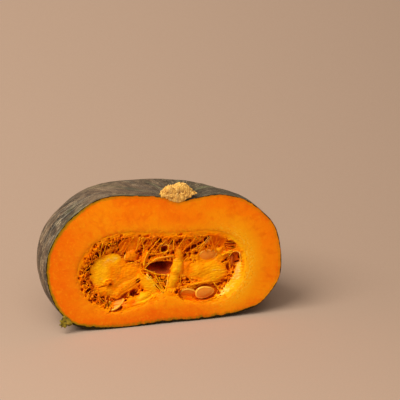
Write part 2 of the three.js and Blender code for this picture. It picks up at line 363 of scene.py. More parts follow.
def stretched(tree, vector, scale, rotation=(0, 0, 0)):
    made = node(tree, "Mapping", {"Vector": vector, "Scale": scale, "Rotation": rotation})
    return made.outputs["Vector"]


def bump(tree, height, depth, strength):
    inputs = {"Height": height, "Distance": depth, "Strength": strength}
    return node(tree, "Bump", inputs).outputs["Normal"]


def new_material(name):
    material = bpy.data.materials.new(name)
    material.use_nodes = True
    tree = material.node_tree
    return material, tree, tree.nodes["Principled BSDF"]


def new_group(name, inputs, outputs):
    """A shader group with the given inputs and outputs, and its two end nodes."""
    tree = bpy.data.node_groups.new(name, "ShaderNodeTree")
    for label, kind in inputs:
        tree.interface.new_socket(name=label, in_out="INPUT", socket_type=kind)
    for label, kind in outputs:
        tree.interface.new_socket(name=label, in_out="OUTPUT", socket_type=kind)
    return tree, tree.nodes.new("NodeGroupInput"), tree.nodes.new("NodeGroupOutput")


def use_group(tree, group, **inputs):
    made = tree.nodes.new("ShaderNodeGroup")
    made.node_tree = group
    for name, value in inputs.items():
        feed(tree, made.inputs[name.replace("_", " ")], value)
    return made


def fibre_group():
    """Fine threads that run along X of the vector it is given, with thicker ones among them."""
    if "Plant fibre" in bpy.data.node_groups:
        return bpy.data.node_groups["Plant fibre"]
    inputs = [("Vector", "NodeSocketVector"), ("Scale", "NodeSocketFloat")]
    tree, start, end = new_group("Plant fibre", inputs, [("Threads", "NodeSocketFloat")])
    long_way = stretched(tree, start.outputs["Vector"], (0.12, 1, 1))
    fine = noise_value(tree, long_way, start.outputs["Scale"], detail=3, distortion=0.4)
    half_scale = product(tree, start.outputs["Scale"], 0.35)
    thick = noise_value(tree, long_way, half_scale, detail=1, distortion=0.8)
    threads = total(tree, product(tree, fine, 0.6), product(tree, thick, 0.4))
    feed(tree, end.inputs["Threads"], between(tree, threads, 0.36, 0.66))
    return tree


def wet_group():
    """Small wet patches: a mask that lowers roughness, and a grain that breaks up the shine."""
    if "Wet patches" in bpy.data.node_groups:
        return bpy.data.node_groups["Wet patches"]
    inputs = [("Vector", "NodeSocketVector"), ("Scale", "NodeSocketFloat")]
    outputs = [("Wet", "NodeSocketFloat"), ("Grain", "NodeSocketFloat")]
    tree, start, end = new_group("Wet patches", inputs, outputs)
    patches = noise_value(tree, start.outputs["Vector"], start.outputs["Scale"], detail=4, roughness=0.65)
    fine_scale = product(tree, start.outputs["Scale"], 9)
    grain = noise_value(tree, start.outputs["Vector"], fine_scale, detail=3, roughness=0.7)
    feed(tree, end.inputs["Wet"], between(tree, patches, 0.46, 0.62))
    feed(tree, end.inputs["Grain"], grain)
    return tree


def rgb(red, green, blue):
    """Scene colour for a colour as seen on screen, each part from 0 to 255."""
    def linear(part):
        share = part / 255
        return share / 12.92 if share <= 0.04045 else ((share + 0.055) / 1.055) ** 2.4
    return (linear(red), linear(green), linear(blue), 1.0)


def color_setting(name, description, color):
    return bpy.props.FloatVectorProperty(
        name=name, description=description, subtype="COLOR", size=4, min=0, max=1, default=color)


# Rind and flesh


class SkinSettings(bpy.types.PropertyGroup):
    lobes: bpy.props.IntProperty(name="Lobes", description="Lobes behind the cut", default=5, min=1)
    groove: bpy.props.FloatProperty(
        name="Groove", description="Depth of the grooves between lobes, in millimetres", default=2.2, min=0)
    wrinkle: bpy.props.FloatProperty(
        name="Wrinkle", description="Height of the fine ridges of the skin, in millimetres",
        default=0.22, min=0)
    rind: bpy.props.FloatProperty(
        name="Rind", description="Thickness of the dark rind on the cut, in millimetres",
        default=0.55, min=0)
    dark: color_setting("Dark", "Darkest green of the skin", rgb(46, 38, 28))
    brown: color_setting("Brown", "Olive brown bloom of the skin", rgb(118, 94, 70))
    pale: color_setting("Pale", "Pale streaks and specks", rgb(188, 164, 126))


class FleshSettings(bpy.types.PropertyGroup):
    ragged: bpy.props.FloatProperty(
        name="Ragged", description="Unevenness of the flesh round the cavity, in millimetres",
        default=1.1, min=0)
    flesh: color_setting("Flesh", "Orange of the flesh", rgb(255, 129, 0))
    outer: color_setting("Outer flesh", "Redder flesh near the rind", rgb(246, 121, 0))
    inner: color_setting("Inner flesh", "Yellower flesh round the cavity", rgb(255, 146, 2))


# Rows of the mesh on the wall of the cavity, on the cut face and on the skin
WALL_ROWS = 12
FACE_ROWS = 46
SKIN_ROWS = 110
COLUMNS = 384
RIM_ROW = WALL_ROWS
EDGE_ROW = WALL_ROWS + FACE_ROWS
FAR_FROM_RIM = 40.0  # distances stored where there is no flesh to measure on, in millimetres
FAR_FROM_RIND = 30.0


def outward(places):
    """Rough outward direction of the skin, as on an ellipsoid of the fruit's size."""
    away = (places - np.array([0, 0, HALF_HEIGHT])) / np.array([HALF_WIDTH, HALF_WIDTH, HALF_HEIGHT]) ** 2
    return away / np.linalg.norm(away, axis=-1, keepdims=True)


LOW_ROLL = 2.4  # how far the lowest edge of the cut is worn back, in millimetres
LOW_BAND = (9, 3)  # heights between which that wear sets in


def skin_places(around, inward, skin):
    def offset(share, turn):
        return lobe_offset(share, turn, skin.lobes, skin.groove)

    places, share, turn = half_shell(SKIN_RIGHT, SKIN_LEFT, DEPTH_SHARE, around, inward, offset)
    leftness = np.clip(0.5 - places[:, 0] / (2 * HALF_WIDTH), 0, 1)
    backness = np.clip(places[:, 1] / HALF_WIDTH, 0, 1)
    places[:, 2] += BACK_RISE * np.clip(np.sin(2 * math.pi * share), 0, 1) * leftness * backness
    streaks = np.stack([turn * 46, share * 7, np.zeros_like(turn)], axis=-1)
    ridges = sample(lambda p: noise.fractal(p, 0.9, 2.1, 3), streaks, 1.0) * skin.wrinkle
    broad = sample(noise.noise, places, 24.0) * 0.7 + sample(noise.noise, places, 7.0) * 0.16
    places = places + outward(places) * (ridges + broad)[..., None]
    nick = np.clip(sample(noise.noise, flat(places[:, 0], places[:, 2]), 2.6) - 0.22, 0, 1) * 3.4
    low = soft_step(*LOW_BAND, places[:, 2])
    places[:, 2] += nick * low * soft_step(1.6, 0, places[:, 1])
    places[:, 1] += LOW_ROLL * low * np.exp(-places[:, 1] / 5)
    return places, share, turn


def build_half(skin, flesh):
    deselect()
    rows = WALL_ROWS + FACE_ROWS + SKIN_ROWS
    bpy.ops.mesh.primitive_uv_sphere_add(
        segments=COLUMNS, ring_count=rows, radius=1, rotation=UPRIGHT)
    piece = added("squash_rind_and_flesh")
    unit = places_of(piece)
    row = np.rint(np.arccos(np.clip(-unit[:, 1], -1, 1)) / math.pi * rows)
    around = np.arctan2(unit[:, 2], unit[:, 0])
    places = np.zeros_like(unit)
    share = np.zeros(len(unit))
    turn = np.zeros(len(unit))

    # the wall of the cavity, from its deepest place out to the rim
    wall = row < RIM_ROW
    places[wall], _, _ = half_shell(CAVITY_RIGHT, CAVITY_LEFT, 1, around[wall], 1 - row[wall] / WALL_ROWS)

    # the skin, from its edge on the cut round to the back
    behind = row >= EDGE_ROW
    places[behind], share[behind], turn[behind] = skin_places(
        around[behind], (row[behind] - EDGE_ROW) / SKIN_ROWS, skin)

    # the cut face, between the ragged rim and the edge of the skin
    face = (row >= RIM_ROW) & (row < EDGE_ROW)
    nothing = np.zeros(face.sum())
    rim, _, _ = half_shell(CAVITY_RIGHT, CAVITY_LEFT, 1, around[face], nothing)
    away = rim - np.array([CAVITY_MIDDLE[0], 0, CAVITY_MIDDLE[1]])
    away /= np.linalg.norm(away, axis=1, keepdims=True)
    torn = sample(noise.noise, rim, 7.0) * 0.8 + sample(noise.noise, rim + 31, 2.4) * 0.9
    rim += away * (torn * flesh.ragged)[:, None]
    edge, _, _ = skin_places(around[face], nothing, skin)
    step = (row[face] - RIM_ROW) / FACE_ROWS
    reach = step - 0.78 / (2 * math.pi) * np.sin(2 * math.pi * step)
    places[face] = rim + (edge - rim) * reach[:, None]
    places[face, 1] = 0

    # distances on the cut face, which the finish and the fine relief follow
    ring = np.where(row == EDGE_ROW)[0]
    ring = ring[np.argsort(around[ring])]
    from_rind = np.zeros(len(unit))
    from_rind[face] = distance_to_line(places[face, 0], places[face, 2], places[ring][:, [0, 2]])
    from_rim = np.full(len(unit), FAR_FROM_RIM)
    from_rim[face] = distance_to_line(places[face, 0], places[face, 2], CAVITY_LINE)
    inside = row <= RIM_ROW
    from_rim[inside] = 0
    from_rind[inside] = FAR_FROM_RIND

    spot = flat(places[face, 0], places[face, 2])
    near = np.exp(-from_rim[face] / 2.2)
    knife = sample(noise.noise, spot, 21.0) * 0.16 + sample(noise.noise, spot, 3.4) * 0.05
    pits = np.array([noise.voronoi(Vector(p))[0][0] for p in spot / 2.6])
    pitted = soft_step(4, 1, from_rim[face]) * soft_step(0.34, 0.12, pits)
    roll = 0.25 * np.exp(-from_rim[face] / 0.9)
    away_from_rind = soft_step(0, 1.5, from_rind[face])
    worn = LOW_ROLL * soft_step(*LOW_BAND, places[face, 2]) * np.exp(-from_rind[face] / 1.2)
    places[face, 1] = (0.22 + knife + near * 0.5 + pitted * 0.6) * away_from_rind + roll + worn
    places[:, 2] = np.maximum(places[:, 2], FOOT_SHAVE)
    move_to(piece, to_frame(places))

    store(piece, "from_rind", from_rind)
    store(piece, "from_rim", from_rim)
    store(piece, "turn", turn)
    store(piece, "share", share)
    for material in (skin_material(skin), flesh_material(skin, flesh)):
        piece.data.materials.append(material)
    middle_row = np.array([row[list(polygon.vertices)].mean() for polygon in piece.data.polygons])
    piece.data.polygons.foreach_set("material_index", (middle_row < EDGE_ROW).astype(int))
    take(piece)
    bpy.ops.object.shade_smooth_by_angle(angle=math.radians(50))
    return settle(piece, "squash", "squash_half")


def skin_material(skin):
    """Dull green-brown rind: streaks along the lobes, pale specks, a soft wax-like shine, and pale grey
    patches of painted reflection.
    """
    material, tree, surface = new_material("Kabocha rind")
    place = object_place(tree)
    lengthwise = node(tree, "CombineXYZ", {"X": attribute(tree, "turn"), "Y": attribute(tree, "share")})
    along = stretched(tree, lengthwise.outputs["Vector"], (46, 6, 1))
    thin = stretched(tree, lengthwise.outputs["Vector"], (330, 26, 1))
    wavy = noise_value(tree, along, 1.0, detail=5, roughness=0.62, distortion=1.2)
    fine = noise_value(tree, thin, 1.0, detail=4, roughness=0.65, distortion=0.9)
    mottle = noise_value(tree, place, 110, detail=5, roughness=0.65)
    broad = noise_value(tree, place, 16, detail=3)
    bloom = total(tree, product(tree, wavy, 0.55), product(tree, broad, 0.45))
    color = blend(tree, between(tree, bloom, 0.4, 0.56), tuple(skin.dark), tuple(skin.brown))
    greener = between(tree, noise_value(tree, place, 38, detail=2), 0.52, 0.68, 0, 0.5)
    color = blend(tree, greener, color, rgb(100, 98, 58))
    # pale grey patches along the lobes: painted reflection of the surroundings on the shiny skin
    painted_reflection = between(tree, noise_value(tree, along, 1.7, detail=3, distortion=0.8), 0.54, 0.68, 0, 0.32)
    color = blend(tree, painted_reflection, color, rgb(136, 136, 124))
    across = node(tree, "SeparateXYZ", {"Vector": place}).outputs["X"]
    rightward = total(tree, across, product(tree, broad, 0.03))
    color = blend(tree, between(tree, rightward, 0.012, 0.034, 0, 0.6), color, rgb(70, 66, 46))
    color = blend(tree, between(tree, fine, 0.5, 0.4, 0, 0.9), color, rgb(48, 40, 30))
    color = blend(tree, between(tree, mottle, 0.47, 0.36, 0, 0.8), color, rgb(54, 45, 36))
    streaks = product(tree, between(tree, fine, 0.53, 0.61), between(tree, mottle, 0.44, 0.56))
    color = blend(tree, product(tree, streaks, 0.8), color, tuple(skin.pale))
    specks = between(tree, cells(tree, place, 240), 0.26, 0.12)
    patchy = between(tree, noise_value(tree, place, 45, detail=2), 0.5, 0.7)
    color = blend(tree, product(tree, specks, patchy, 0.6), color, tuple(skin.pale))
    stripe_place = product(tree, attribute(tree, "turn"), float(skin.lobes * math.pi))
    stripe = maths(tree, "POWER", maths(tree, "ABSOLUTE", maths(tree, "COSINE", stripe_place)), 14)
    broken = between(tree, noise_value(tree, along, 0.7, detail=3), 0.45, 0.62)
    color = blend(tree, product(tree, stripe, broken, 0.45), color, rgb(132, 138, 92))
    feed(tree, surface.inputs["Base Color"], color)
    feed(tree, surface.inputs["Roughness"], between(tree, mottle, 0.3, 0.7, 0.42, 0.62))
    surface.inputs["Specular IOR Level"].default_value = 0.32
    height = total(tree, product(tree, fine, 0.7), product(tree, mottle, 0.5))
    feed(tree, surface.inputs["Normal"], bump(tree, height, 0.0014, 0.8))
    return material


def flesh_material(skin, flesh):
    """Wet orange flesh: the dark rind line, widened near the bottom by painted shade, a green-yellow edge,
    faint streaks away from the cavity.
    """
    material, tree, surface = new_material("Squash flesh")
    place = object_place(tree)
    parts = node(tree, "SeparateXYZ", {"Vector": place})
    middle = frame_place(CAVITY_MIDDLE[0], 0, CAVITY_MIDDLE[1])
    x = maths(tree, "SUBTRACT", parts.outputs["X"], middle.x)
    z = product(tree, maths(tree, "SUBTRACT", parts.outputs["Z"], middle.z), 1.7)
    angle = maths(tree, "ARCTAN2", z, x)
    radius = node(tree, "VectorMath", {0: node(tree, "CombineXYZ", {"X": x, "Y": z}).outputs["Vector"]},
                  operation="LENGTH").outputs["Value"]
    ray = node(tree, "CombineXYZ", {"X": product(tree, angle, 26), "Y": product(tree, radius, 46)})
    streaks = noise_value(tree, ray.outputs["Vector"], 1.0, detail=4, roughness=0.6, distortion=0.5)
    broad = noise_value(tree, place, 26, detail=3, roughness=0.55, distortion=0.4)
    fine = noise_value(tree, place, 420, detail=3, roughness=0.6)

    from_rim = attribute(tree, "from_rim")
    wobble = between(tree, noise_value(tree, place, 300, detail=2), 0.3, 0.7, -0.35, 0.35)
    from_rind = total(tree, attribute(tree, "from_rind"), wobble)
    color = blend(tree, between(tree, from_rind, 1, 9), tuple(flesh.outer), tuple(flesh.flesh))
    color = blend(tree, between(tree, from_rim, 13, 1), color, tuple(flesh.inner))
    color = blend(tree, between(tree, broad, 0.42, 0.64, 0, 0.7), color, rgb(255, 150, 2))
    color = blend(tree, between(tree, broad, 0.46, 0.3, 0, 0.6), color, rgb(240, 102, 0))
    color = blend(tree, between(tree, streaks, 0.5, 0.72, 0, 0.3), color, rgb(240, 100, 0))
    far_left = between(tree, parts.outputs["X"], middle.x - 45 * MM, middle.x - 85 * MM)
    redder = maths(tree, "MAXIMUM", far_left, between(tree, parts.outputs["Z"], 0.02, 0.008))
    color = blend(tree, product(tree, redder, 0.5), color, rgb(234, 98, 0))
    color = blend(tree, between(tree, fine, 0.52, 0.7, 0, 0.35), color, rgb(255, 164, 14))
    middling = noise_value(tree, place, 130, detail=3, roughness=0.6, distortion=0.5)
    color = blend(tree, between(tree, middling, 0.5, 0.34, 0, 0.4), color, rgb(238, 98, 0))
    righter = between(tree, parts.outputs["X"], middle.x + 30 * MM, middle.x + 75 * MM)
    yellower = product(tree, righter, between(tree, from_rim, 22, 4), 0.85)
    color = blend(tree, yellower, color, rgb(255, 168, 8))
    pits = between(tree, cells(tree, place, 520), 0.24, 0.1)
    near = between(tree, from_rim, 7, 1)
    color = blend(tree, product(tree, pits, near, 0.4), color, rgb(206, 80, 0))
    tangent = node(tree, "CombineXYZ", {"X": product(tree, angle, 22), "Y": product(tree, radius, 560)})
    dashes = between(tree, cells(tree, tangent.outputs["Vector"], 1.0), 0.24, 0.12)
    dashed = product(tree, between(tree, from_rim, 10, 6), between(tree, from_rim, 0.5, 3))
    dashes = product(tree, dashes, dashed, product(tree, righter, 0.8))
    color = blend(tree, dashes, color, rgb(214, 116, 4))
    fibres = noise_value(tree, tangent.outputs["Vector"], 1.0, detail=2)
    fibres = product(tree, between(tree, fibres, 0.52, 0.66), between(tree, from_rim, 12, 3))
    fibres = product(tree, fibres, product(tree, righter, 0.55))
    color = blend(tree, fibres, color, rgb(255, 202, 64))
    low = between(tree, parts.outputs["Z"], 0.013, 0.004)
    upright = noise_value(tree, stretched(tree, place, (420, 1, 60)), 1.0, detail=3)
    ticks = between(tree, upright, 0.35, 0.6, 0.3, 1)
    # flesh darker and browner in upright streaks just above the rind near the bottom
    browner_low_band = product(tree, low, between(tree, from_rind, 8, 0.5), ticks)
    color = blend(tree, product(tree, browner_low_band, 0.75), color, rgb(176, 92, 6))
    leftward = between(tree, parts.outputs["X"], middle.x - 20 * MM, middle.x - 70 * MM, 0.35, 1)
    # near the bottom the rind line is moved in by up to 1.9 mm: painted shade along the low edge over the
    # real dark rind, with the green-yellow edge moved in beside it
    line = maths(tree, "SUBTRACT", from_rind, product(tree, low, 1.9))
    edge = maths(tree, "MAXIMUM", leftward, product(tree, low, product(tree, ticks, 0.8)))
    green = product(tree, between(tree, line, skin.rind + 3.2, skin.rind + 0.6, 0, 0.95), edge)
    color = blend(tree, green, color, rgb(160, 124, 8))
    color = blend(tree, between(tree, line, skin.rind + 0.3, skin.rind - 0.2), color, rgb(48, 42, 14))
    feed(tree, surface.inputs["Base Color"], color)

    wet = use_group(tree, wet_group(), Vector=place, Scale=90.0)
    feed(tree, surface.inputs["Roughness"], between(tree, wet.outputs["Wet"], 0, 1, 0.6, 0.42))
    surface.inputs["Specular IOR Level"].default_value = 0.08
    surface.inputs["Subsurface Weight"].default_value = 0.25
    surface.inputs["Subsurface Radius"].default_value = (1.0, 0.3, 0.05)
    surface.inputs["Subsurface Scale"].default_value = 0.004
    height = total(tree, product(tree, fine, 0.5), product(tree, streaks, 0.4))
    height = total(tree, height, product(tree, wet.outputs["Grain"], 0.4))
    feed(tree, surface.inputs["Normal"], bump(tree, height, 0.0005, 0.6))
    return material


class MESH_OT_squash_half(bpy.types.Operator):
    """Model the rind and flesh of the half, with its flat cut face and open cavity"""

    bl_idname = "mesh.squash_half"
    bl_label = "Rind and flesh"

    def execute(self, context):
        build_half(context.scene.squash_skin, context.scene.squash_flesh)
        return {"FINISHED"}


# Flap of rind


class FlapSettings(bpy.types.PropertyGroup):
    thickness: bpy.props.FloatProperty(
        name="Thickness", description="Thickness of the flap, in millimetres", default=1.6, min=0.2)
    green: color_setting("Green", "Olive green of the torn rind", rgb(136, 116, 20))


FLAP_LINE = np.array([
    (-80, 9), (-83, 14.5), (-87.2, 17.5), (-89.6, 13.8), (-91.2, 13), (-90, 10.8), (-91.8, 9.4),
    (-89.8, 8.6), (-90.2, 5.8), (-88.2, 8.2), (-86.6, 6.2), (-85.2, 8.6), (-82.6, 7.8),
])
FLAP_MIDDLE = np.array([-87, 9.6])


def build_flap(flap):
    """The torn flap of rind that stands out at the lower left of the cut."""
    deselect()
    count = 4 * len(FLAP_LINE)
    bpy.ops.mesh.primitive_circle_add(vertices=count, radius=1, fill_type="NGON", rotation=UPRIGHT)
    piece = added("rind_flap")
    bpy.ops.object.mode_set(mode="EDIT")
    bpy.ops.mesh.select_all(action="SELECT")
    for _ in range(4):
        bpy.ops.mesh.inset(thickness=0.2, depth=0)
    bpy.ops.mesh.poke()
    bpy.ops.object.mode_set(mode="OBJECT")
    unit = places_of(piece)
    share = np.arctan2(unit[:, 2], unit[:, 0]) / (2 * math.pi) % 1 * len(FLAP_LINE)
    closed = np.vstack([FLAP_LINE, FLAP_LINE[:1]])
    edge = np.stack([np.interp(share, range(len(closed)), closed[:, i]) for i in (0, 1)], axis=-1)
    radius = np.minimum(np.hypot(unit[:, 0], unit[:, 2]), 1)[:, None]
    spread = FLAP_MIDDLE + (edge - FLAP_MIDDLE) * radius
    curl = sample(noise.noise, flat(spread[:, 0], spread[:, 1]), 4.0) * 0.8
    move_to(piece, to_frame(np.stack([spread[:, 0], curl + 0.7, spread[:, 1]], axis=-1)))
    apply_modifier(piece, "SOLIDIFY", thickness=flap.thickness * MM, offset=1)
    apply_modifier(piece, "SUBSURF", levels=1)
    face_outwards(piece)
    bpy.ops.object.shade_smooth_by_angle(angle=math.radians(50))
    piece.data.materials.append(flap_material(flap))
    return settle(piece, "squash", "squash_half")


def flap_material(flap):
    """Torn rind: olive green with dark spots and yellow edges."""
    material, tree, surface = new_material("Torn rind")
    place = object_place(tree)
    patches = noise_value(tree, place, 420, detail=4, roughness=0.65)
    broad = noise_value(tree, place, 160, detail=2)
    color = blend(tree, between(tree, patches, 0.34, 0.56), rgb(62, 50, 14), tuple(flap.green))
    color = blend(tree, between(tree, broad, 0.52, 0.68, 0, 0.6), color, rgb(184, 150, 48))
    feed(tree, surface.inputs["Base Color"], color)
    surface.inputs["Roughness"].default_value = 0.6
    surface.inputs["Specular IOR Level"].default_value = 0.3
    feed(tree, surface.inputs["Normal"], bump(tree, patches, 0.0006, 0.7))
    return material


class MESH_OT_squash_flap(bpy.types.Operator):
    """Model the torn flap of rind at the lower left of the cut"""

    bl_idname = "mesh.squash_flap"
    bl_label = "Flap of rind"

    def execute(self, context):
        build_flap(context.scene.squash_flap)
        return {"FINISHED"}


# Pulp


class PulpSettings(bpy.types.PropertyGroup):
    hole: bpy.props.FloatProperty(
        name="Hole", description="Size of the holes in the spongy tissue, in millimetres",
        default=3.1, min=0.5)
    strand: bpy.props.FloatProperty(
        name="Strand", description="Usual radius of a strand, in millimetres", default=0.5, min=0.05)
    draw: bpy.props.IntProperty(name="Draw", description="Seed of the random strands", default=11)
    orange: color_setting("Orange", "Usual colour of the pulp", rgb(250, 132, 0))
    pale: color_setting("Pale", "Pale yellow tissue", rgb(255, 182, 14))
    # painted shade: the dark red painted into the holes
    hole_shade: color_setting("Deep", "Dark red of the holes", rgb(140, 36, 2))


# Rounded masses of tissue, as seen on the cut: middle x and z, half length and half width, turn in
# degrees from level, depth of the crown behind the cut, how much lower its edge is, and paleness
LUMPS = {
    # the left pad is painted paler and yellower on its left side and top and darker on its right part:
    # partly painted light from the upper left, partly the tissue's own paleness
    "left pad": (-48.5, 51, 16, 16, 0, 4.8, 2.6, 0.4),
    "left pad, right part": (-35, 48.5, 14.5, 10, -8, 5.4, 2, 0.24),
    "left pad, yellow side": (-55.6, 51.5, 8, 14, 8, 5.2, 1.6, 0.72),
    "left pad, pale top": (-46.5, 62.5, 8, 5, 12, 5.8, 0.8, 0.86),
    "left pad, petals": (-53.5, 35.2, 9.5, 4.6, -5, 4.8, 2, 0.42),
    "loop": (-49.5, 42.6, 3.9, 2.9, 0, 3.4, 1.2, 0.2),
    "slanting ridge": (-34.3, 38.5, 16, 5.6, 33, 5.3, 1.5, 0.36),
    "slanting ridge, lower side": (-30.5, 34.6, 11, 1.6, 36, 6.6, 0.8, 0.1),
    "second ridge": (-36.7, 30.2, 8.9, 1.2, 36, 4, 2, 0.3),
    "bottom fold": (-31.5, 22.4, 11.5, 3.6, 18, 2.8, 2.4, -0.1),
    "above the bottom seed": (-42.4, 24.4, 6.5, 2.6, 24, 5.4, 0.8, -0.2),
    "yellow flesh": (-20.5, 26.4, 6.6, 4.4, 28, 1.8, 1.8, 0.7),
    "left wedge": (-16.6, 37, 12, 4.8, -50, 3.4, 1, 0.55),
    "left wedge, edge": (-14, 40, 11.5, 1.5, -50, 3, 0.8, 0.85),
    "upper film": (-30.5, 74, 9.4, 7.4, 20, 4.6, 2, 0.0),
    "upper left fold": (-47, 71.2, 6.5, 2, 25, 5, 2, 0.25),
    "seed under film": (-30.2, 64.6, 5, 4.8, 0, 3.8, 1.8, 0.16),
    "beside the film": (-18.5, 62, 7.5, 2.6, 68, 4.2, 2.4, 0.2),
    "column, top": (9.8, 61.5, 8.4, 3.6, 92, 4, 1.2, 0.35),
    "column, middle": (8.4, 51, 8.2, 5.4, 86, 3.2, 1.8, 0.7),
    "column, bright part": (7.2, 47.4, 4.6, 3.4, 60, 2.6, 1.4, 0.86),
    "column, low": (4.4, 39.5, 9, 4.6, 66, 3.2, 1.8, 0.6),
    "column, foot": (-2, 27.4, 6.5, 2.2, 5, 1.6, 2, 0.3),
    "membrane": (-5.2, 60, 11, 1.1, 7, 4.8, 1.2, 0.4),
    "upper right film": (41, 72.2, 10.5, 5.6, -12, 4.6, 1.6, -0.16),
    "film by the third seed": (44.5, 62.6, 6, 2.4, 18, 4, 1.8, 0.35),
    "right bridge": (53, 59.8, 5, 1.1, 12, 2.6, 1.6, 0.85),
    "top right rim": (59.4, 71, 6.6, 1.6, -42, 1.8, 1.6, 0.85),
    "right pad": (33.5, 45.6, 19.5, 8.4, -2, 4.4, 1.6, 0.52),
    "right pad, low": (39.5, 41, 12.5, 6, 4, 4.4, 1.6, 0.66),
    "right pad, left part": (17, 49.6, 6, 6.6, 0, 5, 2.4, 0.05),
    "over the right seeds": (31, 35.4, 12, 1.4, 6, 3.8, 1.6, 0.42),
    "behind the third seed": (38, 58.2, 14.5, 7.6, 4, 6, 0.4, 0.45),
}

# Beds of the seeds that show, and two smooth hollows, as middle x and z, half length and half width,
# turn, depth of the bed, and how dark the painted shade round it is
SEED_BEDS = {
    "first": (32.4, 26.2, 10, 6.4, 6, 8, 0.35),
    "second": (19.5, 24.6, 9.6, 5, -18, 8, 0.3),
    "third": (35.2, 58.6, 8, 5.9, 8, 7, 0.1),
    "bottom left": (-44.4, 17.4, 6, 2.3, 26, 8, 0.4),
    "round hollow": (59.1, 54.6, 4.8, 4.8, 0, 5.2, 0.3),
    "long hollow": (54.6, 66.8, 4.6, 3.2, -8, 5.5, 0.3),
}

# Crevices, darkened with painted shade: middle x and z, half length and half width, turn in degrees, and
# depth behind the cut
CREVICES = [
    (-38.5, 29, 7.6, 1.4, 36, 9), (-28.9, 31.8, 3.2, 2.8, 30, 13), (-39.2, 26.8, 5.6, 1.1, 12, 9),
    (-24.7, 41.8, 2.3, 1.6, 20, 11), (-47.9, 40.6, 1.6, 1, 0, 9), (-53.2, 39.3, 6, 0.7, 6, 7.4),
    (-50.2, 23, 1.1, 3.6, 0, 10), (-53, 21.6, 0.9, 2.2, 10, 9), (-22.3, 66.5, 6.2, 1.6, 65, 9),
    (-34.8, 79.4, 6, 0.7, 8, 5), (-17, 80, 3, 0.9, 5, 6), (-23.2, 80.6, 1.3, 1, 0, 6),
    (-25.8, 66, 1, 1.4, 0, 8), (-18.7, 74.4, 2.3, 1.2, 60, 10), (-30.5, 59.6, 4.4, 0.6, -6, 6.6),
    (-35.6, 66.5, 0.7, 3.6, -10, 6.6), (-6.8, 75.9, 2.3, 2, 20, 11), (-2.5, 68, 2.9, 2.8, 0, 14),
    (-14.7, 68.8, 2.1, 1.6, 60, 11), (2.9, 72.6, 2.6, 1, 70, 10), (-11.9, 62.7, 3.2, 0.8, 2, 9),
    (-7, 67.1, 1, 1.5, 0, 8), (8.6, 71.7, 1, 2.7, 0, 6.5), (12.1, 73.9, 2.4, 1.9, 20, 7.5),
    (11.6, 79, 2, 0.9, 10, 5.5), (33.8, 73.8, 3, 1.7, 38, 11), (28.7, 71, 2.6, 1.7, 38, 10),
    (23.1, 68.2, 2.9, 1.7, 35, 11), (17.9, 65.6, 2.7, 1.9, 40, 11), (15, 60.8, 2, 1.3, 50, 9),
    (19.9, 62.3, 1.3, 1.1, 0, 8), (25.4, 62.1, 1.5, 1.2, 0, 9), (59.6, 51.2, 2.6, 1, 8, 10),
    (62.2, 55.4, 0.9, 1.9, 0, 9), (56.2, 57.4, 1.2, 1.1, 20, 9), (57.5, 64.3, 2.6, 0.8, -10, 10),
    (55.6, 68.6, 3, 0.7, -10, 9), (52.9, 47.6, 1.6, 3.3, 5, 11), (53.2, 39.6, 1.1, 0.9, 0, 7),
    (45.1, 32.7, 2.8, 1.6, 10, 9), (50.7, 34.9, 2.4, 1.3, 30, 9), (17.1, 38.8, 1.7, 1.7, 0, 11),
    (17.3, 35.9, 1.8, 0.9, 0, 9), (11.4, 37.8, 1.5, 2.4, 0, 8.5), (8, 28.8, 1.5, 1.8, 0, 9),
    (-13.6, 44.4, 3.4, 1.6, -38, 10), (-7.3, 34.2, 4.2, 1.1, -47, 9), (-5.3, 40.8, 3, 1.6, -30, 11),
    (-3, 33.5, 2.4, 0.9, -60, 10), (-1.6, 38, 1.2, 3, 10, 9),
]

# Small holes between the left pad and the flesh, as x, z and radius
RIM_HOLES = [
    (-57.9, 67.7, 1.6), (-59.8, 75.0, 1.0), (-54.4, 74.7, 1.2), (-53.0, 72.1, 0.8), (-50.0, 77.0, 1.0),
    (-47.7, 76.8, 1.2), (-42.5, 76.5, 1.2), (-42.0, 73.8, 0.7), (-39.6, 78.1, 0.8), (-38.5, 81.5, 0.9),
    (-63.3, 61.4, 1.5), (-66.8, 55.4, 1.3), (-65.3, 57.9, 0.7), (-72.1, 52.6, 1.2), (-73.6, 48.2, 1.0),
    (-70.0, 44.3, 1.8), (-71.9, 44.0, 1.0), (-71.6, 38.4, 1.0), (-66.9, 36.3, 1.6), (-68.9, 32.6, 0.8),
    (-59.8, 32.2, 1.2), (-56.6, 29.9, 0.8), (-64.3, 28.1, 1.5), (-60.7, 29.3, 1.4), (-56.6, 78.5, 0.7),
    (-61.6, 71.5, 0.7), (-68.4, 64.7, 0.7), (-70.5, 56.9, 0.8), (-64.0, 51.3, 0.6), (-48.5, 80.3, 0.6),
    (-45.2, 79.5, 0.6), (-51.2, 69.6, 0.6), (-55.5, 69.0, 0.7), (-72.9, 42.1, 0.6), (-67.4, 48.8, 0.9),
    (-68.6, 40.4, 0.9), (-62.4, 65.0, 0.8), (-58.2, 26.0, 0.9), (-65.2, 32.4, 0.9), (-54.6, 25.6, 0.8),
]

CORE_HOLE = np.array([
    (-18.9, 52.2), (-16.9, 55.3), (-13.4, 57), (-9, 57.9), (-4.1, 58), (0.8, 57.3), (5, 56), (5, 53.7),
    (2.7, 50.3), (0.9, 45.5), (-2.3, 45.3), (-7.2, 46.3), (-12.1, 47.7), (-16, 49.6),
])
CORE_DEPTH = 34


def within(x, z, form):
    """How far out each place lies in a turned ellipse: 0 in its middle and 1 on its edge."""
    middle_x, middle_z, length, width, turn = form[:5]
    cos, sin = math.cos(math.radians(turn)), math.sin(math.radians(turn))
    along = (x - middle_x) * cos + (z - middle_z) * sin
    aside = (z - middle_z) * cos - (x - middle_x) * sin
    return np.hypot(along / length, aside / width)


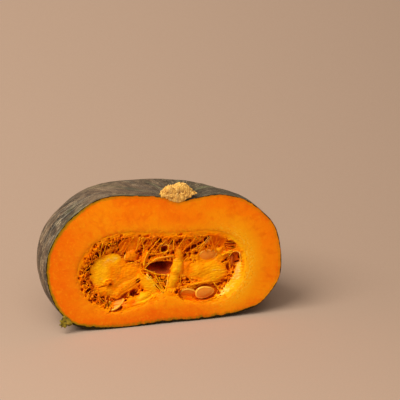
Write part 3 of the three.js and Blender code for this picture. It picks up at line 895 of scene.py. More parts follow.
def cell_walls(places, size):
    """Distance from the walls between random cells, and a random value from -1 to 1 for each cell."""
    walls, values = [], []
    for place in places / size:
        distances, points = noise.voronoi(Vector(place))
        walls.append(distances[1] - distances[0])
        values.append(noise.cell(points[0] * 7.3))
    return np.array(walls), np.array(values)


def core_distance(x, z):
    """Distance inside the edge of the dark core hole, and 0 outside it."""
    inside = np.zeros(x.shape, bool)
    for (ax, az), (bx, bz) in zip(CORE_HOLE, np.roll(CORE_HOLE, -1, axis=0)):
        crosses = (az > z) != (bz > z)
        inside ^= crosses & (x < (bx - ax) * (z - az) / (bz - az) + ax)
    return np.where(inside, distance_to_line(x, z, CORE_HOLE), 0)


def pulp_relief(x, z, pulp):
    """Depth of the pulp behind the cut, and its paleness, painted shade and share of the core hole, by
    place.
    """
    warp_x = sample(noise.noise, flat(x, z, 5), 8.0) * 0.9 + sample(noise.noise, flat(x, z, 6), 2.6) * 0.5
    warp_z = sample(noise.noise, flat(x, z, 7), 8.0) * 0.9 + sample(noise.noise, flat(x, z, 8), 2.6) * 0.5
    wx, wz = x + warp_x, z + warp_z
    wall = distance_to_line(x, z, CAVITY_LINE)
    broad = sample(noise.noise, flat(x, z, 3), 12.0)
    tissue = 1.0 + 0.15 * np.minimum(wall, 4) + 0.8 * np.clip(wall - 4, 0, 6)
    tissue = tissue + 0.8 * broad * soft_step(0, 4, wall)
    pale = 0.14 + 0.3 * broad
    solid = np.zeros_like(x)
    for form in LUMPS.values():
        out = within(x + 1.1 * warp_x, z + 1.1 * warp_z, form)
        crown, drop, paleness = form[5:]
        tissue = np.minimum(tissue, crown + drop * out**2 + np.maximum(0, out - 1) * (2 + 1.5 * form[3]))
        share = soft_step(1.25, 0.45, out)
        pale = pale + (paleness - pale) * share
        solid = np.maximum(solid, soft_step(1.1, 0.92, out))

    # the pale crescent at the right end
    right = soft_step(50, 58, x + 0.45 * (45 - z)) * soft_step(62, 52, z) * soft_step(17, 23, z)
    frayed = wall + 1.4 * broad + 1.6 * sample(noise.noise, flat(x, z, 31), 2.2)
    crescent = soft_step(12, 8, frayed) * soft_step(1, 5.5, frayed) * right
    smooth = soft_step(10.5, 8, wall + 1.2 * broad) * soft_step(46, 52, x) * soft_step(70, 62, z)
    pale = pale + (0.98 - pale) * crescent
    tissue = tissue + (0.8 + 0.34 * wall - tissue) * smooth
    solid = np.maximum(solid, smooth)

    # beds in which the nearest seeds lie, with painted shade in a ring round each seed and inside the two
    # hollows
    bed_shade = np.zeros_like(x)
    for name, form in SEED_BEDS.items():
        out = within(x + 0.3 * warp_x, z + 0.3 * warp_z, form)
        share = soft_step(1.15, 0.95, out)
        tissue = tissue + share * np.maximum(form[5] - tissue, 0)
        solid = np.maximum(solid, share)
        bed_shade = np.maximum(bed_shade, form[6] * soft_step(1.28, 1.08, out) * soft_step(0.75, 0.95, out))
        if name.endswith("hollow"):
            bed_shade = np.maximum(bed_shade, 0.42 * soft_step(1.05, 0.8, out))

    # spongy holes away from the pads, and then the holes and crevices that have their own places
    walls, values = cell_walls(flat(wx, wz), pulp.hole)
    opening = 0.85 - 0.55 * soft_step(3, 7, wall)
    holes = soft_step(opening, opening + 0.2, walls) * soft_step(-0.4, 0.1, values) * (1 - solid)
    small_walls, small_values = cell_walls(flat(wx, wz, 40), pulp.hole * 0.5)
    small = soft_step(0.3, 0.55, small_walls) * (small_values > 0.1)
    small = small * soft_step(2.5, 4, wall) * (1 - 0.97 * solid)
    dug = holes * (1.7 + 0.9 * values) + small * 0.6
    for middle_x, middle_z, radius in RIM_HOLES:
        away = np.hypot(x + 1.4 * warp_x - middle_x, (z + 1.4 * warp_z - middle_z) * 0.85)
        dug = np.maximum(dug, soft_step(1.8, 0.7, away / radius) * (1.7 + 1.1 * radius))
    for form in CREVICES:
        share = soft_step(1.3, 0.55, within(x + 1.1 * warp_x, z + 1.1 * warp_z, form))
        dug = np.maximum(dug, share * np.maximum(0.5 * (form[5] - tissue), 1.8))

    threads = sample(noise.noise, np.stack([wx / 3.2, wz * 0, wz / 0.8], axis=-1), 1.0)
    ripple = sample(noise.noise, flat(wx, wz, 12), 1.3)
    rough = (1 - 0.5 * solid) * soft_step(0, 3, wall)
    folds = np.abs(sample(noise.noise, flat(wx, wz * 0.8, 21), 2.3))
    web = folds + np.abs(sample(noise.noise, flat(wx, wz, 23), 1.1)) * 0.5
    web = soft_step(0.3, 0.02, web) * (1 - solid) * soft_step(2.5, 5, wall)
    hollow = soft_step(0.22, 0.55, folds) * (1 - solid) * soft_step(2.5, 5, wall)
    pale = pale + 0.5 * web
    core = core_distance(x + 0.3 * warp_x, z + 0.3 * warp_z)
    relief = tissue + (0.5 * threads + 0.4 * ripple) * rough + dug - 0.9 * web + 1.4 * hollow
    relief = relief + soft_step(0, 1.0, core) * 6 + soft_step(0.5, 5, core) * CORE_DEPTH
    # painted shadow: a dark band inside the left part of the ring, along the outside of the left pad
    inner = soft_step(4.5, 7.5, wall) * (1 - solid) * soft_step(-28, -42, x)
    dug = dug * (0.55 + 0.45 * soft_step(3, 6, wall))
    # dark is painted shade: darker the deeper the holes and crevices are dug, in the hollows between folds,
    # round the seed beds and in the band beside the left pad, lighter on raised webs
    dark = soft_step(0.4, 2.8, dug) + 0.45 * hollow + bed_shade + 0.4 * inner - 0.2 * web
    dark = np.clip(dark, 0, 1.1) * (1 - soft_step(0.1, 0.9, core))
    near_wall = soft_step(4, 1, wall)
    pale = pale + (0.28 + 0.3 * soft_step(40, 58, x) - pale) * near_wall
    return np.maximum(relief, 0.4), np.clip(pale, -0.3, 1.1), dark, soft_step(0, 0.8, core)


def cavity_reach(angle, middle=CAVITY_MIDDLE):
    """Distance of the cavity's outline from a place inside it, in each direction on the cut plane."""
    away = CAVITY_LINE - np.array(middle)
    return np.interp(angle, np.arctan2(away[:, 1], away[:, 0]), np.hypot(*away.T), period=2 * math.pi)


PULP_COLUMNS = 380
PULP_ROWS = 190
PULP_BACK = 60  # how far behind the cut the modelled front is closed
PULP_SPAN = (72, 34)  # rough half length and half height of the cavity
PULP_OVERLAP = 1.03  # how far the front reaches past the cavity's outline, as a share of its size


def build_pulp(pulp):
    deselect()
    bpy.ops.mesh.primitive_grid_add(
        x_subdivisions=PULP_COLUMNS, y_subdivisions=PULP_ROWS, size=2, rotation=UPRIGHT)
    piece = added("pulp_front")
    bpy.ops.object.mode_set(mode="EDIT")
    bpy.ops.mesh.select_all(action="SELECT")
    bpy.ops.mesh.region_to_loop()
    bpy.ops.mesh.extrude_edges_move(TRANSFORM_OT_translate={"value": (0, 1, 0)})
    bpy.ops.mesh.edge_face_add()
    bpy.ops.object.mode_set(mode="OBJECT")
    unit = places_of(piece)
    u, v = unit[:, 0], unit[:, 2]
    length, height = PULP_SPAN
    x = u * np.sqrt(1 - v * v / 2) * length
    z = v * np.sqrt(1 - u * u / 2) * height
    angle = np.arctan2(z, x)
    stretch = cavity_reach(angle) * np.hypot(np.cos(angle) / length, np.sin(angle) / height) * PULP_OVERLAP
    stretch = np.where(unit[:, 1] > 0.5, stretch * 0.5, stretch)
    x, z = x * stretch + CAVITY_MIDDLE[0], z * stretch + CAVITY_MIDDLE[1]
    depth, pale, dark, core = pulp_relief(x, z, pulp)
    outside = np.hypot(x - CAVITY_MIDDLE[0], z - CAVITY_MIDDLE[1]) / cavity_reach(angle)
    depth = np.maximum(depth, 0.5 + 0.9 * soft_step(1.0, PULP_OVERLAP, outside))
    depth = np.where(unit[:, 1] > 0.5, PULP_BACK, depth)
    move_to(piece, to_frame(in_sight(x, depth, z)))
    store(piece, "pale", pale)
    store(piece, "dark", dark)
    store(piece, "core", core)
    piece.data.materials.append(pulp_material(pulp))
    face_outwards(piece)
    bpy.ops.object.shade_smooth()
    return settle(piece, "pulp", "pulp")


def pulp_material(pulp):
    """Wet stringy tissue: orange with pale yellow places, and dark red painted shade in the holes."""
    made = bpy.data.materials.get("Squash pulp")
    if made:
        return made
    material, tree, surface = new_material("Squash pulp")
    place = object_place(tree)
    pale = attribute(tree, "pale")
    dark = attribute(tree, "dark")
    tilted = stretched(tree, place, (1, 1, 1), (0, 0.25, 0))
    threads = use_group(tree, fibre_group(), Vector=tilted, Scale=900.0).outputs["Threads"]
    patches = noise_value(tree, place, 190, detail=4, roughness=0.6, distortion=0.6)
    broad = noise_value(tree, place, 60, detail=2)
    paleness = total(tree, pale, between(tree, patches, 0.3, 0.7, -0.16, 0.16))
    paleness = total(tree, paleness, between(tree, threads, 0, 1, -0.05, 0.05))
    color = blend(tree, between(tree, paleness, -0.35, 0.1), rgb(226, 92, 0), tuple(pulp.orange))
    color = blend(tree, between(tree, paleness, 0.05, 0.85), color, tuple(pulp.pale))
    color = blend(tree, between(tree, paleness, 0.8, 1.15), color, rgb(255, 212, 104))
    color = blend(tree, between(tree, broad, 0.5, 0.7, 0, 0.35), color, rgb(232, 100, 0))
    # painted shade: darker and redder where the dark attribute marks holes, crevices and deep strands
    painted_shade = total(tree, dark, between(tree, patches, 0.3, 0.7, -0.12, 0.12))
    color = blend(tree, between(tree, painted_shade, 0.02, 0.45), color, rgb(200, 78, 0))
    color = blend(tree, between(tree, painted_shade, 0.4, 0.95), color, tuple(pulp.hole_shade))
    color = blend(tree, between(tree, attribute(tree, "core"), 0.1, 0.9), color, rgb(214, 96, 34))
    feed(tree, surface.inputs["Base Color"], color)
    wet = use_group(tree, wet_group(), Vector=place, Scale=160.0)
    feed(tree, surface.inputs["Roughness"], between(tree, wet.outputs["Wet"], 0, 1, 0.6, 0.34))
    feed(tree, surface.inputs["Specular IOR Level"], between(tree, wet.outputs["Wet"], 0, 1, 0.01, 0.08))
    height = total(tree, product(tree, threads, 0.5), product(tree, wet.outputs["Grain"], 0.4))
    feed(tree, surface.inputs["Normal"], bump(tree, height, 0.0003, 0.6))
    return material


class MESH_OT_squash_pulp(bpy.types.Operator):
    """Model the front of the pulp: its pads, folds, spongy holes and the dark hole in its core"""

    bl_idname = "mesh.squash_pulp"
    bl_label = "Pulp"

    def execute(self, context):
        build_pulp(context.scene.squash_pulp)
        return {"FINISHED"}


# Strands

STRAND_SIDES = 6
STRAND_STEPS = 9


def strand_model():
    """One straight strand, a unit long and a unit in radius, to be copied and bent."""
    deselect()
    bpy.ops.mesh.primitive_cylinder_add(vertices=STRAND_SIDES, radius=1, depth=1, end_fill_type="TRIFAN")
    model = added("strand_model")
    pick_edges(model, lambda a, b: abs(a.z - b.z) > 0.5)
    bpy.ops.mesh.subdivide(number_cuts=STRAND_STEPS - 1)
    bpy.ops.object.mode_set(mode="OBJECT")
    bpy.ops.object.shade_smooth()
    return model


def bent(unit, start, end, bow, radius, flatness, wave):
    """The model strand's vertices laid from start to end, bowed, wavy, and thicker at its roots."""
    share = unit[:, 2] + 0.5
    way = end - start
    along = way / np.linalg.norm(way)
    side = np.cross(along, (0, 1, 0))
    side /= max(np.linalg.norm(side), 1e-6)
    front = np.cross(side, along)
    arch = 4 * share * (1 - share)
    line = start + way * share[:, None] + bow * arch[:, None]
    line = line + side * (np.sin(share * wave[0] + wave[1]) * arch * wave[2])[:, None]
    thickness = radius * (0.62 + 0.9 * np.abs(2 * share - 1) ** 2.5)
    return line + (side * unit[:, :1] + front * unit[:, 1:2] * flatness) * thickness[:, None]


class StrandMaker:
    """Copies the model strand to where it is told, and joins the copies into one piece at the end."""

    def __init__(self, pulp):
        self.pulp = pulp
        self.model = strand_model()
        self.unit = places_of(self.model)
        self.random = random.Random(pulp.draw)
        self.made = []

    def spread(self, low, high):
        return self.random.uniform(low, high)

    def add(self, start, end, thickness=1.0, bow=(0, 0, 0), pale=0.5, flatness=0.8):
        """start, end and bow are in millimetres: across the cut, behind it, and up."""
        wave = (self.spread(4, 9), self.spread(0, 6), self.spread(0.1, 0.5))
        radius = self.pulp.strand * thickness
        lines = bent(self.unit, np.array(start, float), np.array(end, float), np.array(bow, float), radius,
                     flatness, wave)
        lines[:, 1] = np.maximum(lines[:, 1], 0.25)
        strand = copy_of(self.model)
        move_to(strand, to_frame(in_sight(*lines.T)))
        store(strand, "pale", np.full(len(lines), np.clip(pale + self.spread(-0.2, 0.15), -0.2, 0.9)))
        # painted shade: strands lying deeper behind the cut are painted darker
        store(strand, "dark", 0.6 * soft_step(6.5, 11.5, lines[:, 1]))
        store(strand, "core", np.zeros(len(lines)))
        self.made.append(strand)

    def join(self, name):
        deselect()
        for strand in self.made:
            strand.select_set(True)
        piece = self.made[0]
        bpy.context.view_layer.objects.active = piece
        bpy.ops.object.join()
        piece.name = name
        piece.data.name = name
        piece.data.materials.append(pulp_material(self.pulp))
        bpy.data.objects.remove(self.model)
        return settle(piece, "pulp", "pulp")


# Edges of the two lobes of pulp inside the spongy ring: middle x and z, half length and half width
LEFT_RING = (-45, 51, 20, 18)
RIGHT_RING = (35, 47, 22, 15)
LEFT_TURNS = (60, 262)  # directions that the left part of the ring takes up, in degrees

# The pads that carry fibres: middle x and z, half length and half width, or radius
RIGHT_PAD = (33.5, 45.5, 19, 8.4)
LEFT_PAD = (-49, 51, 13)


def rim_strands(maker, ring, first, last, count):
    """Short strands that cross the spongy ring from the flesh inwards, for directions in degrees."""
    middle_x, middle_z, length, width = ring
    for step in range(count):
        angle = math.radians(first + (last - first) * (step + maker.spread(-0.6, 0.6)) / count)
        lean = angle + maker.spread(-0.45, 0.45)
        reach = float(cavity_reach(angle, (middle_x, middle_z))) - maker.spread(0.6, 4)
        near = 0.97 / math.hypot(math.cos(lean) / length, math.sin(lean) / width)
        outer = (middle_x + reach * math.cos(angle), middle_z + reach * math.sin(angle))
        inner = (middle_x + near * math.cos(lean), middle_z + near * math.sin(lean))
        stop = maker.spread(0.4, 1.05)
        end = [outer[i] + (inner[i] - outer[i]) * stop for i in (0, 1)]
        maker.add(
            (outer[0], maker.spread(1.2, 2.4), outer[1]), (end[0], maker.spread(3.2, 6), end[1]),
            thickness=maker.spread(0.5, 1.15), bow=(0, maker.spread(-1.4, 1.2), maker.spread(-1.2, 0.6)),
            pale=maker.spread(-0.1, 0.5))


# Strands that are drawn one by one, as seen on the cut: start x, depth and z, end x, depth and z,
# thickness, paleness
DRAWN_STRANDS = [
    # net over the core hole
    (-20, 4, 55, -16.5, 3, 66, 1.3, 0.6), (-16.5, 3.6, 65, -9.5, 3.2, 73.5, 1.2, 0.5),
    (-19.5, 3.6, 66, -21, 2, 79, 0.9, 0.6), (-16, 4, 65, -4.5, 4, 64.5, 0.9, 0.6),
    (-5, 4, 64.5, 1, 3.6, 66, 0.9, 0.8), (1, 3.6, 66, 1.5, 3.4, 70.5, 0.8, 0.9),
    (-11, 4, 65.5, -4.5, 3.2, 73, 1.1, 0.45), (-10, 3, 73, -3.5, 2.2, 79.5, 1.2, 0.4),
    (-4.5, 3.2, 72, 3.5, 2.2, 78.5, 1.2, 0.5), (0.5, 3.6, 70, 5.5, 2.6, 76.5, 1.0, 0.5),
    (5.5, 3.4, 66, 6, 2.6, 77, 1.4, 0.45), (10, 3.6, 68, 15, 2.6, 76.5, 1.2, 0.4),
    (-24, 3, 78, -13, 2.2, 79.5, 0.9, 0.4), (-13.5, 3, 72, -11, 2.4, 79, 0.9, 0.4),
    (6, 3, 76, 17, 2.2, 78.5, 1.0, 0.5), (-5.8, 3.8, 66.5, -4.8, 3.6, 71.5, 0.5, 1.0),
    (-4.8, 3.6, 71.5, 0.4, 3.4, 71.4, 0.5, 1.0),
    # membrane and edge round the core hole
    (-19, 4.4, 52.5, -9.5, 4.2, 60, 0.5, 0.9), (-9.5, 4.2, 60, 6, 4, 61, 0.5, 0.8),
    (-19, 4.6, 51.4, -11, 4.6, 47, 0.7, 0.9), (-11, 4.6, 47, 1.5, 4.6, 44.6, 0.7, 0.8),
    (-18, 5.4, 50.6, -10.5, 6, 48.8, 0.35, 0.9), (-17.5, 5, 56, -8, 5, 59, 0.4, 1.0),
    # slanting strands over the upper right
    (27, 3.6, 65.5, 36.5, 2.2, 75.5, 0.5, 1.0), (29.5, 3.6, 65.5, 38.5, 2.2, 75.5, 0.5, 1.0),
    (31.5, 3.4, 68, 41, 2, 78, 0.5, 0.8), (13, 4, 64, 24, 2.6, 74.5, 1.0, 0.4),
    (18, 4, 69, 32, 2.2, 78, 1.0, 0.35), (21, 4.4, 63.5, 33.5, 3, 71.5, 1.0, 0.3),
    # fan under the core hole
    (-17.5, 4.4, 47, -3.6, 1.8, 29, 1.0, 0.9), (-14.5, 5, 45, -3.2, 2.2, 29.5, 0.6, 0.8),
    (-10.5, 5.6, 46, -2.8, 2.4, 29.6, 0.6, 0.8), (-7, 6, 43.5, -2.4, 2.8, 30, 0.5, 0.7),
    (1.2, 4.4, 45, -2, 2, 29.6, 0.9, 0.8), (-12, 5.2, 42.4, -2.4, 5.2, 39.5, 0.4, 0.8),
    (-9.4, 5.4, 39, -1.6, 5.4, 36.6, 0.4, 0.7), (-2.4, 5.6, 44.6, -0.4, 5, 36, 0.4, 0.7),
    # left lobe: ridges, the loop, and ends at the lower left
    (-46, 5, 28.5, -22.5, 4.4, 43.6, 0.45, 0.6), (-44, 5, 31, -24, 4.4, 45.4, 0.4, 0.7),
    (-42, 5.2, 33.5, -26, 4.6, 45.6, 0.35, 0.5), (-43, 5.2, 27.6, -30, 4.8, 35.6, 0.45, 0.3),
    (-40, 5.2, 31, -22, 4.6, 40.6, 0.35, 0.7), (-46.5, 4, 22.5, -33, 3.6, 24.2, 0.9, 0.2),
    (-52, 3.4, 27, -51.4, 3, 18.8, 0.6, 0.8), (-49, 3.4, 26, -48.4, 3, 18.6, 0.7, 0.7),
    (-53, 3.6, 41, -51.5, 3.4, 44.8, 0.7, 0.2), (-51.5, 3.4, 44.8, -47.2, 3.4, 45, 0.7, 0.15),
    (-47.2, 3.4, 45, -45.6, 3.8, 41.6, 0.7, 0.2), (-62, 4, 38.6, -50, 4.4, 39.8, 0.6, 0.35),
    (-45.5, 4.4, 39.8, -41, 4.6, 43.8, 0.5, 0.3), (-61, 3, 26, -57.5, 3, 33, 0.6, 0.5),
    (-39.5, 3.6, 68.5, -34, 3, 76.5, 0.7, 0.4), (-36, 3.6, 68, -30.5, 3, 77, 0.6, 0.3),
    (-26.5, 3.6, 68, -19.5, 2.4, 79.5, 0.9, 0.3), (-24.5, 3.6, 72, -22.5, 2.2, 80, 0.7, 0.7),
    (-27.5, 4, 58.5, -19.5, 4, 63, 0.8, 0.35), (-27, 4.2, 56, -19.5, 4.2, 58.5, 0.7, 0.45),
    # lower edge of the right pad and over the two seeds
    (11, 3.4, 32.6, 24, 3.2, 34.4, 0.9, 0.6), (24, 3.2, 34.4, 37.5, 3, 36.8, 0.9, 0.65),
    (37.5, 3, 36.8, 41, 3, 33.6, 0.8, 0.7), (41, 3, 33.6, 44.5, 2.8, 27.6, 0.8, 0.7),
    (11, 2.6, 30.6, 17, 3, 32.2, 0.9, 0.4), (20.5, 4, 40.4, 33, 3.8, 37.6, 0.6, 0.6),
    (20, 4, 37.4, 30, 3.8, 36.6, 0.5, 0.5), (42.5, 3.6, 37.6, 55, 3.2, 41.2, 0.6, 0.5),
    (10.6, 4, 34, 12, 3.6, 44, 0.8, 0.5),
    # round hollow and its neighbours at the right end
    (54.4, 4, 50.4, 53.8, 3.6, 57, 0.5, 0.1), (53.8, 3.2, 56.8, 57.5, 2.6, 60.4, 0.7, 0.8),
    (57.5, 2.6, 60.4, 62.8, 2.2, 59, 0.8, 0.8), (62.8, 2.2, 59, 64.6, 2, 51.5, 0.8, 0.8),
    (47.5, 3.6, 57.8, 56, 2.6, 61.6, 0.9, 0.85), (48.5, 3.6, 61, 54, 3, 60.2, 0.6, 0.8),
    (50, 4, 69, 59.4, 3, 69, 0.5, 0.4), (50.5, 4, 67.2, 60, 3, 66.4, 0.45, 0.3),
    (51, 4, 65.4, 59.6, 3, 64.2, 0.45, 0.4), (52, 2.4, 72.8, 60.5, 1.6, 71.8, 0.9, 0.9),
    (60.5, 1.6, 71.8, 65, 1.4, 65, 0.9, 0.9),
]


def ring_fibres(maker):
    """Short fibres that lie across the left part of the spongy ring."""
    for _ in range(60):
        angle = math.radians(maker.spread(*LEFT_TURNS))
        reach = float(cavity_reach(angle, LEFT_RING[:2])) - maker.spread(2.5, 8)
        turn = angle + math.pi / 2 + maker.spread(-0.9, 0.9)
        half = maker.spread(1.2, 3.2)
        x, z = LEFT_RING[0] + reach * math.cos(angle), LEFT_RING[1] + reach * math.sin(angle)
        maker.add(
            (x - half * math.cos(turn), maker.spread(1.8, 4), z - half * math.sin(turn)),
            (x + half * math.cos(turn), maker.spread(1.8, 4), z + half * math.sin(turn)),
            maker.spread(0.5, 1.0), (0, -0.6, maker.spread(-0.6, 0.6)), maker.spread(-0.1, 0.5))


def drawn_strands(maker):
    """The strands with places of their own, each with a thinner one beside it."""
    for *ends, thickness, pale in DRAWN_STRANDS:
        start, end = np.array(ends[:3], float), np.array(ends[3:], float)
        bow = (0, maker.spread(-0.8, 0.6), maker.spread(-0.7, 0.7))
        maker.add(start, end, thickness, bow, pale)
        shift = np.array([maker.spread(-1, 1), maker.spread(0, 1.4), maker.spread(-1, 1)])
        maker.add(start + shift * maker.spread(0.2, 1.4), end + shift * maker.spread(0.2, 1.4),
                  thickness * maker.spread(0.25, 0.6), bow, pale)


def pad_fibres(maker):
    """Fibres that lie along the right pad, and a few on the left one."""
    middle_x, middle_z, length, width = RIGHT_PAD
    for _ in range(30):
        z = maker.spread(38.5, 52.5)
        aside = ((z - middle_z) / width) ** 2
        half = length * math.sqrt(max(0.05, 1 - aside))
        start = middle_x - half * maker.spread(-0.2, 1.0)
        end = min(start + maker.spread(8, 22), middle_x + half)
        slope = maker.spread(-0.02, 0.08) * (end - start)
        depth = 4.5 + 2.4 * aside
        maker.add(
            (start, depth + 1.3, z + slope / 2), (end, depth + 1.1, z - slope / 2), maker.spread(0.2, 0.6),
            (0, -1.1, maker.spread(-0.3, 0.5)), maker.spread(0.3, 0.9), flatness=0.6)
    middle_x, middle_z, radius = LEFT_PAD
    for _ in range(10):
        angle = maker.spread(0, 2 * math.pi)
        near = maker.spread(0.5, 0.9)
        x, z = middle_x + radius * near * math.cos(angle), middle_z + radius * near * math.sin(angle)
        turn = angle + math.pi / 2 + maker.spread(-0.5, 0.5)
        half = maker.spread(2, 4.5)
        maker.add(
            (x - half * math.cos(turn), 6.4, z - half * math.sin(turn)),
            (x + half * math.cos(turn), 6.4, z + half * math.sin(turn)),
            maker.spread(0.3, 0.6), (0, -0.9, 0), maker.spread(0.4, 0.8), flatness=0.5)


def torn_ends(maker):
    """Torn ends that stand at the rim of the flesh."""
    for _ in range(70):
        share = maker.spread(0, 1)
        x, z = CAVITY_LINE[int(share * len(CAVITY_LINE)) % len(CAVITY_LINE)]
        angle = math.atan2(z - CAVITY_MIDDLE[1], x - CAVITY_MIDDLE[0])
        shift = maker.spread(-0.6, 1.4)
        x, z = x + shift * math.cos(angle), z + shift * math.sin(angle)
        lean = angle + math.pi + maker.spread(-1.2, 1.2)
        length = maker.spread(1.2, 3.6)
        end = (x + length * math.cos(lean), maker.spread(0.5, 3), z + length * math.sin(lean))
        maker.add((x, 1.4, z), end, maker.spread(0.3, 0.8), (0, -0.3, 0), maker.spread(0.1, 0.6))


def build_strands(pulp):
    maker = StrandMaker(pulp)
    rim_strands(maker, LEFT_RING, *LEFT_TURNS, 44)
    ring_fibres(maker)
    rim_strands(maker, RIGHT_RING, 60, 120, 10)
    drawn_strands(maker)
    pad_fibres(maker)
    torn_ends(maker)
    return maker.join("pulp_strands")


class MESH_OT_squash_strands(bpy.types.Operator):
    """Model the strands that cross the holes and lie along the pads"""

    bl_idname = "mesh.squash_strands"
    bl_label = "Strands"

    def execute(self, context):
        build_strands(context.scene.squash_pulp)
        return {"FINISHED"}


# Seeds


class SeedSettings(bpy.types.PropertyGroup):
    length: bpy.props.FloatProperty(
        name="Length", description="Length of a seed, in millimetres", default=17.5)
    width: bpy.props.FloatProperty(name="Width", description="Width of a seed, in millimetres", default=11.5)
    thickness: bpy.props.FloatProperty(
        name="Thickness", description="Thickness of a seed, in millimetres", default=3.6)
    hull: color_setting("Hull", "Colour of the wet hull", rgb(238, 140, 38))
    border: color_setting("Border", "Colour of the raised border", rgb(255, 190, 58))


# Place of each seed, across the cut, behind it and up, and its turn, lean and spin in degrees
SEED_PLACES = [
    ((33.7, 5, 24.4), 6, 10, 0), ((20.6, 8.5, 23.4), -18, 32, 8), ((36.8, 7.5, 56.6), 12, 12, -6),
    ((-43.3, 6.9, 20.6), 24, -64, 0), ((60.5, 10.5, 52), 80, 55, 20), ((-28.5, 9, 62), 55, 24, 0),
    ((-64.5, 13, 37), 100, 50, 0), ((-58, 13, 71), 45, 50, 0), ((22, 13, 72), 30, 52, 0),
    ((49.5, 13, 32), -40, 50, 0), ((-24, 13, 27), -35, 48, 0), ((-36, 14, 78), 5, 60, 0),
]
# How orange each of the nearest seeds is, and up to 2 for brown; the others are 1
SOAKED = (0.0, 0.55, 0.4, 0.25, 1.9, 0.9)
SEED_RINGS = (0.07, 0.06, 0.07, 0.2, 0.25)  # how far in each ring of the face is from the one before
SEED_SWELL = ((1, 0), (0.93, 0.5), (0.87, 0.6), (0.8, 0.44), (0.6, 0.78), (0.35, 0.95), (0, 1))


def seed_model(seed):
    """One seed lying along X, its face towards -Y: a pointed oval with a raised border."""
    deselect()
    bpy.ops.mesh.primitive_circle_add(vertices=40, radius=1, fill_type="NGON", rotation=UPRIGHT)
    model = added("seed_model")
    bpy.ops.object.mode_set(mode="EDIT")
    bpy.ops.mesh.select_all(action="SELECT")
    for step in SEED_RINGS:
        bpy.ops.mesh.inset(thickness=step, depth=0)
    bpy.ops.mesh.poke()
    bpy.ops.mesh.select_all(action="SELECT")
    bpy.ops.mesh.normals_make_consistent(inside=False)
    bpy.ops.object.mode_set(mode="OBJECT")
    unit = places_of(model)
    radius = np.hypot(unit[:, 0], unit[:, 2])
    stops = sorted(SEED_SWELL)
    swell = np.interp(radius, [stop[0] for stop in stops], [stop[1] for stop in stops])
    narrowing = 1 - 0.28 * unit[:, 0] - 0.3 * np.clip(unit[:, 0] - 0.7, 0, 1)
    places = np.stack([
        unit[:, 0] * seed.length / 2,
        -swell * seed.thickness / 2,
        unit[:, 2] * seed.width / 2 * narrowing,
    ], axis=-1)
    move_to(model, places)
    store(model, "border", soft_step(0.78, 0.9, radius))
    apply_modifier(model, "MIRROR", use_axis=(False, True, False), merge_threshold=0.001)
    apply_modifier(model, "SUBSURF", levels=1)
    face_outwards(model)
    bpy.ops.object.shade_smooth()
    return model


def build_seeds(seed):
    model = seed_model(seed)
    unit = places_of(model)
    material = seed_material(seed)
    for index, (place, turn, lean, spin) in enumerate(SEED_PLACES):
        piece = copy_of(model)
        piece.name = f"pulp_seed_{index + 1:02}"
        spun = Matrix.Rotation(-math.radians(turn), 3, "Y") @ Matrix.Rotation(math.radians(spin), 3, "Z")
        spun = np.array(spun @ Matrix.Rotation(math.radians(lean), 3, "X"))
        uneven = sample(noise.noise, unit + index * 17, 5.0) * 0.35
        swollen = unit * (1 + uneven[:, None] * (0.02, 0.3, 0.05))
        move_to(piece, to_frame(swollen @ spun.T + np.array(place)))
        store(piece, "soaked", np.full(len(unit), SOAKED[index] if index < len(SOAKED) else 1.0))
        piece.data.materials.append(material)
        settle(piece, "seed", f"seed_{index + 1:02}")
    bpy.data.objects.remove(model)


def seed_material(seed):
    """Wet hull: tan, darker in the groove, paler at the border, with an orange film here and there."""
    material, tree, surface = new_material("Squash seed")
    place = object_place(tree)
    border = attribute(tree, "border")
    patches = noise_value(tree, place, 150, detail=3, roughness=0.6, distortion=0.5)
    fine = noise_value(tree, place, 900, detail=2)
    color = blend(tree, between(tree, border, 0.1, 0.9), tuple(seed.hull), tuple(seed.border))
    color = blend(tree, between(tree, patches, 0.48, 0.66, 0, 0.7), color, rgb(240, 132, 16))
    color = blend(tree, between(tree, fine, 0.5, 0.8, 0, 0.25), color, rgb(250, 196, 110))
    film = blend(tree, between(tree, border, 0.1, 0.9), rgb(248, 138, 12), rgb(255, 186, 50))
    color = blend(tree, between(tree, attribute(tree, "soaked"), 0, 1), color, film)
    color = blend(tree, between(tree, attribute(tree, "soaked"), 1, 2), color, rgb(196, 84, 8))
    feed(tree, surface.inputs["Base Color"], color)
    wet = use_group(tree, wet_group(), Vector=place, Scale=120.0)
    feed(tree, surface.inputs["Roughness"], between(tree, wet.outputs["Wet"], 0, 1, 0.45, 0.25))
    surface.inputs["Specular IOR Level"].default_value = 0.16
    feed(tree, surface.inputs["Normal"], bump(tree, wet.outputs["Grain"], 0.0003, 0.6))
    return material


class MESH_OT_squash_seeds(bpy.types.Operator):
    """Model one seed and lay its copies in the pulp"""

    bl_idname = "mesh.squash_seeds"
    bl_label = "Seeds"

    def execute(self, context):
        build_seeds(context.scene.squash_seed)
        return {"FINISHED"}


# Stem


class StemSettings(bpy.types.PropertyGroup):
    ridges: bpy.props.IntProperty(name="Ridges", description="Ridges round the stem", default=11, min=1)
    lumps: bpy.props.FloatProperty(
        name="Lumps", description="Height of the corky lumps, in millimetres", default=1.5, min=0)
    cork: color_setting("Cork", "Usual colour of the cork", rgb(246, 190, 90))
    crack: color_setting("Crack", "Colour in the cracks of the cork", rgb(132, 70, 14))


STEM_PROFILE = [
    (0, 106.8), (5, 108.2), (10.5, 110.6), (14, 113.8), (14.4, 116.8), (12.2, 119.4), (7, 120.9), (0, 121.2),
]


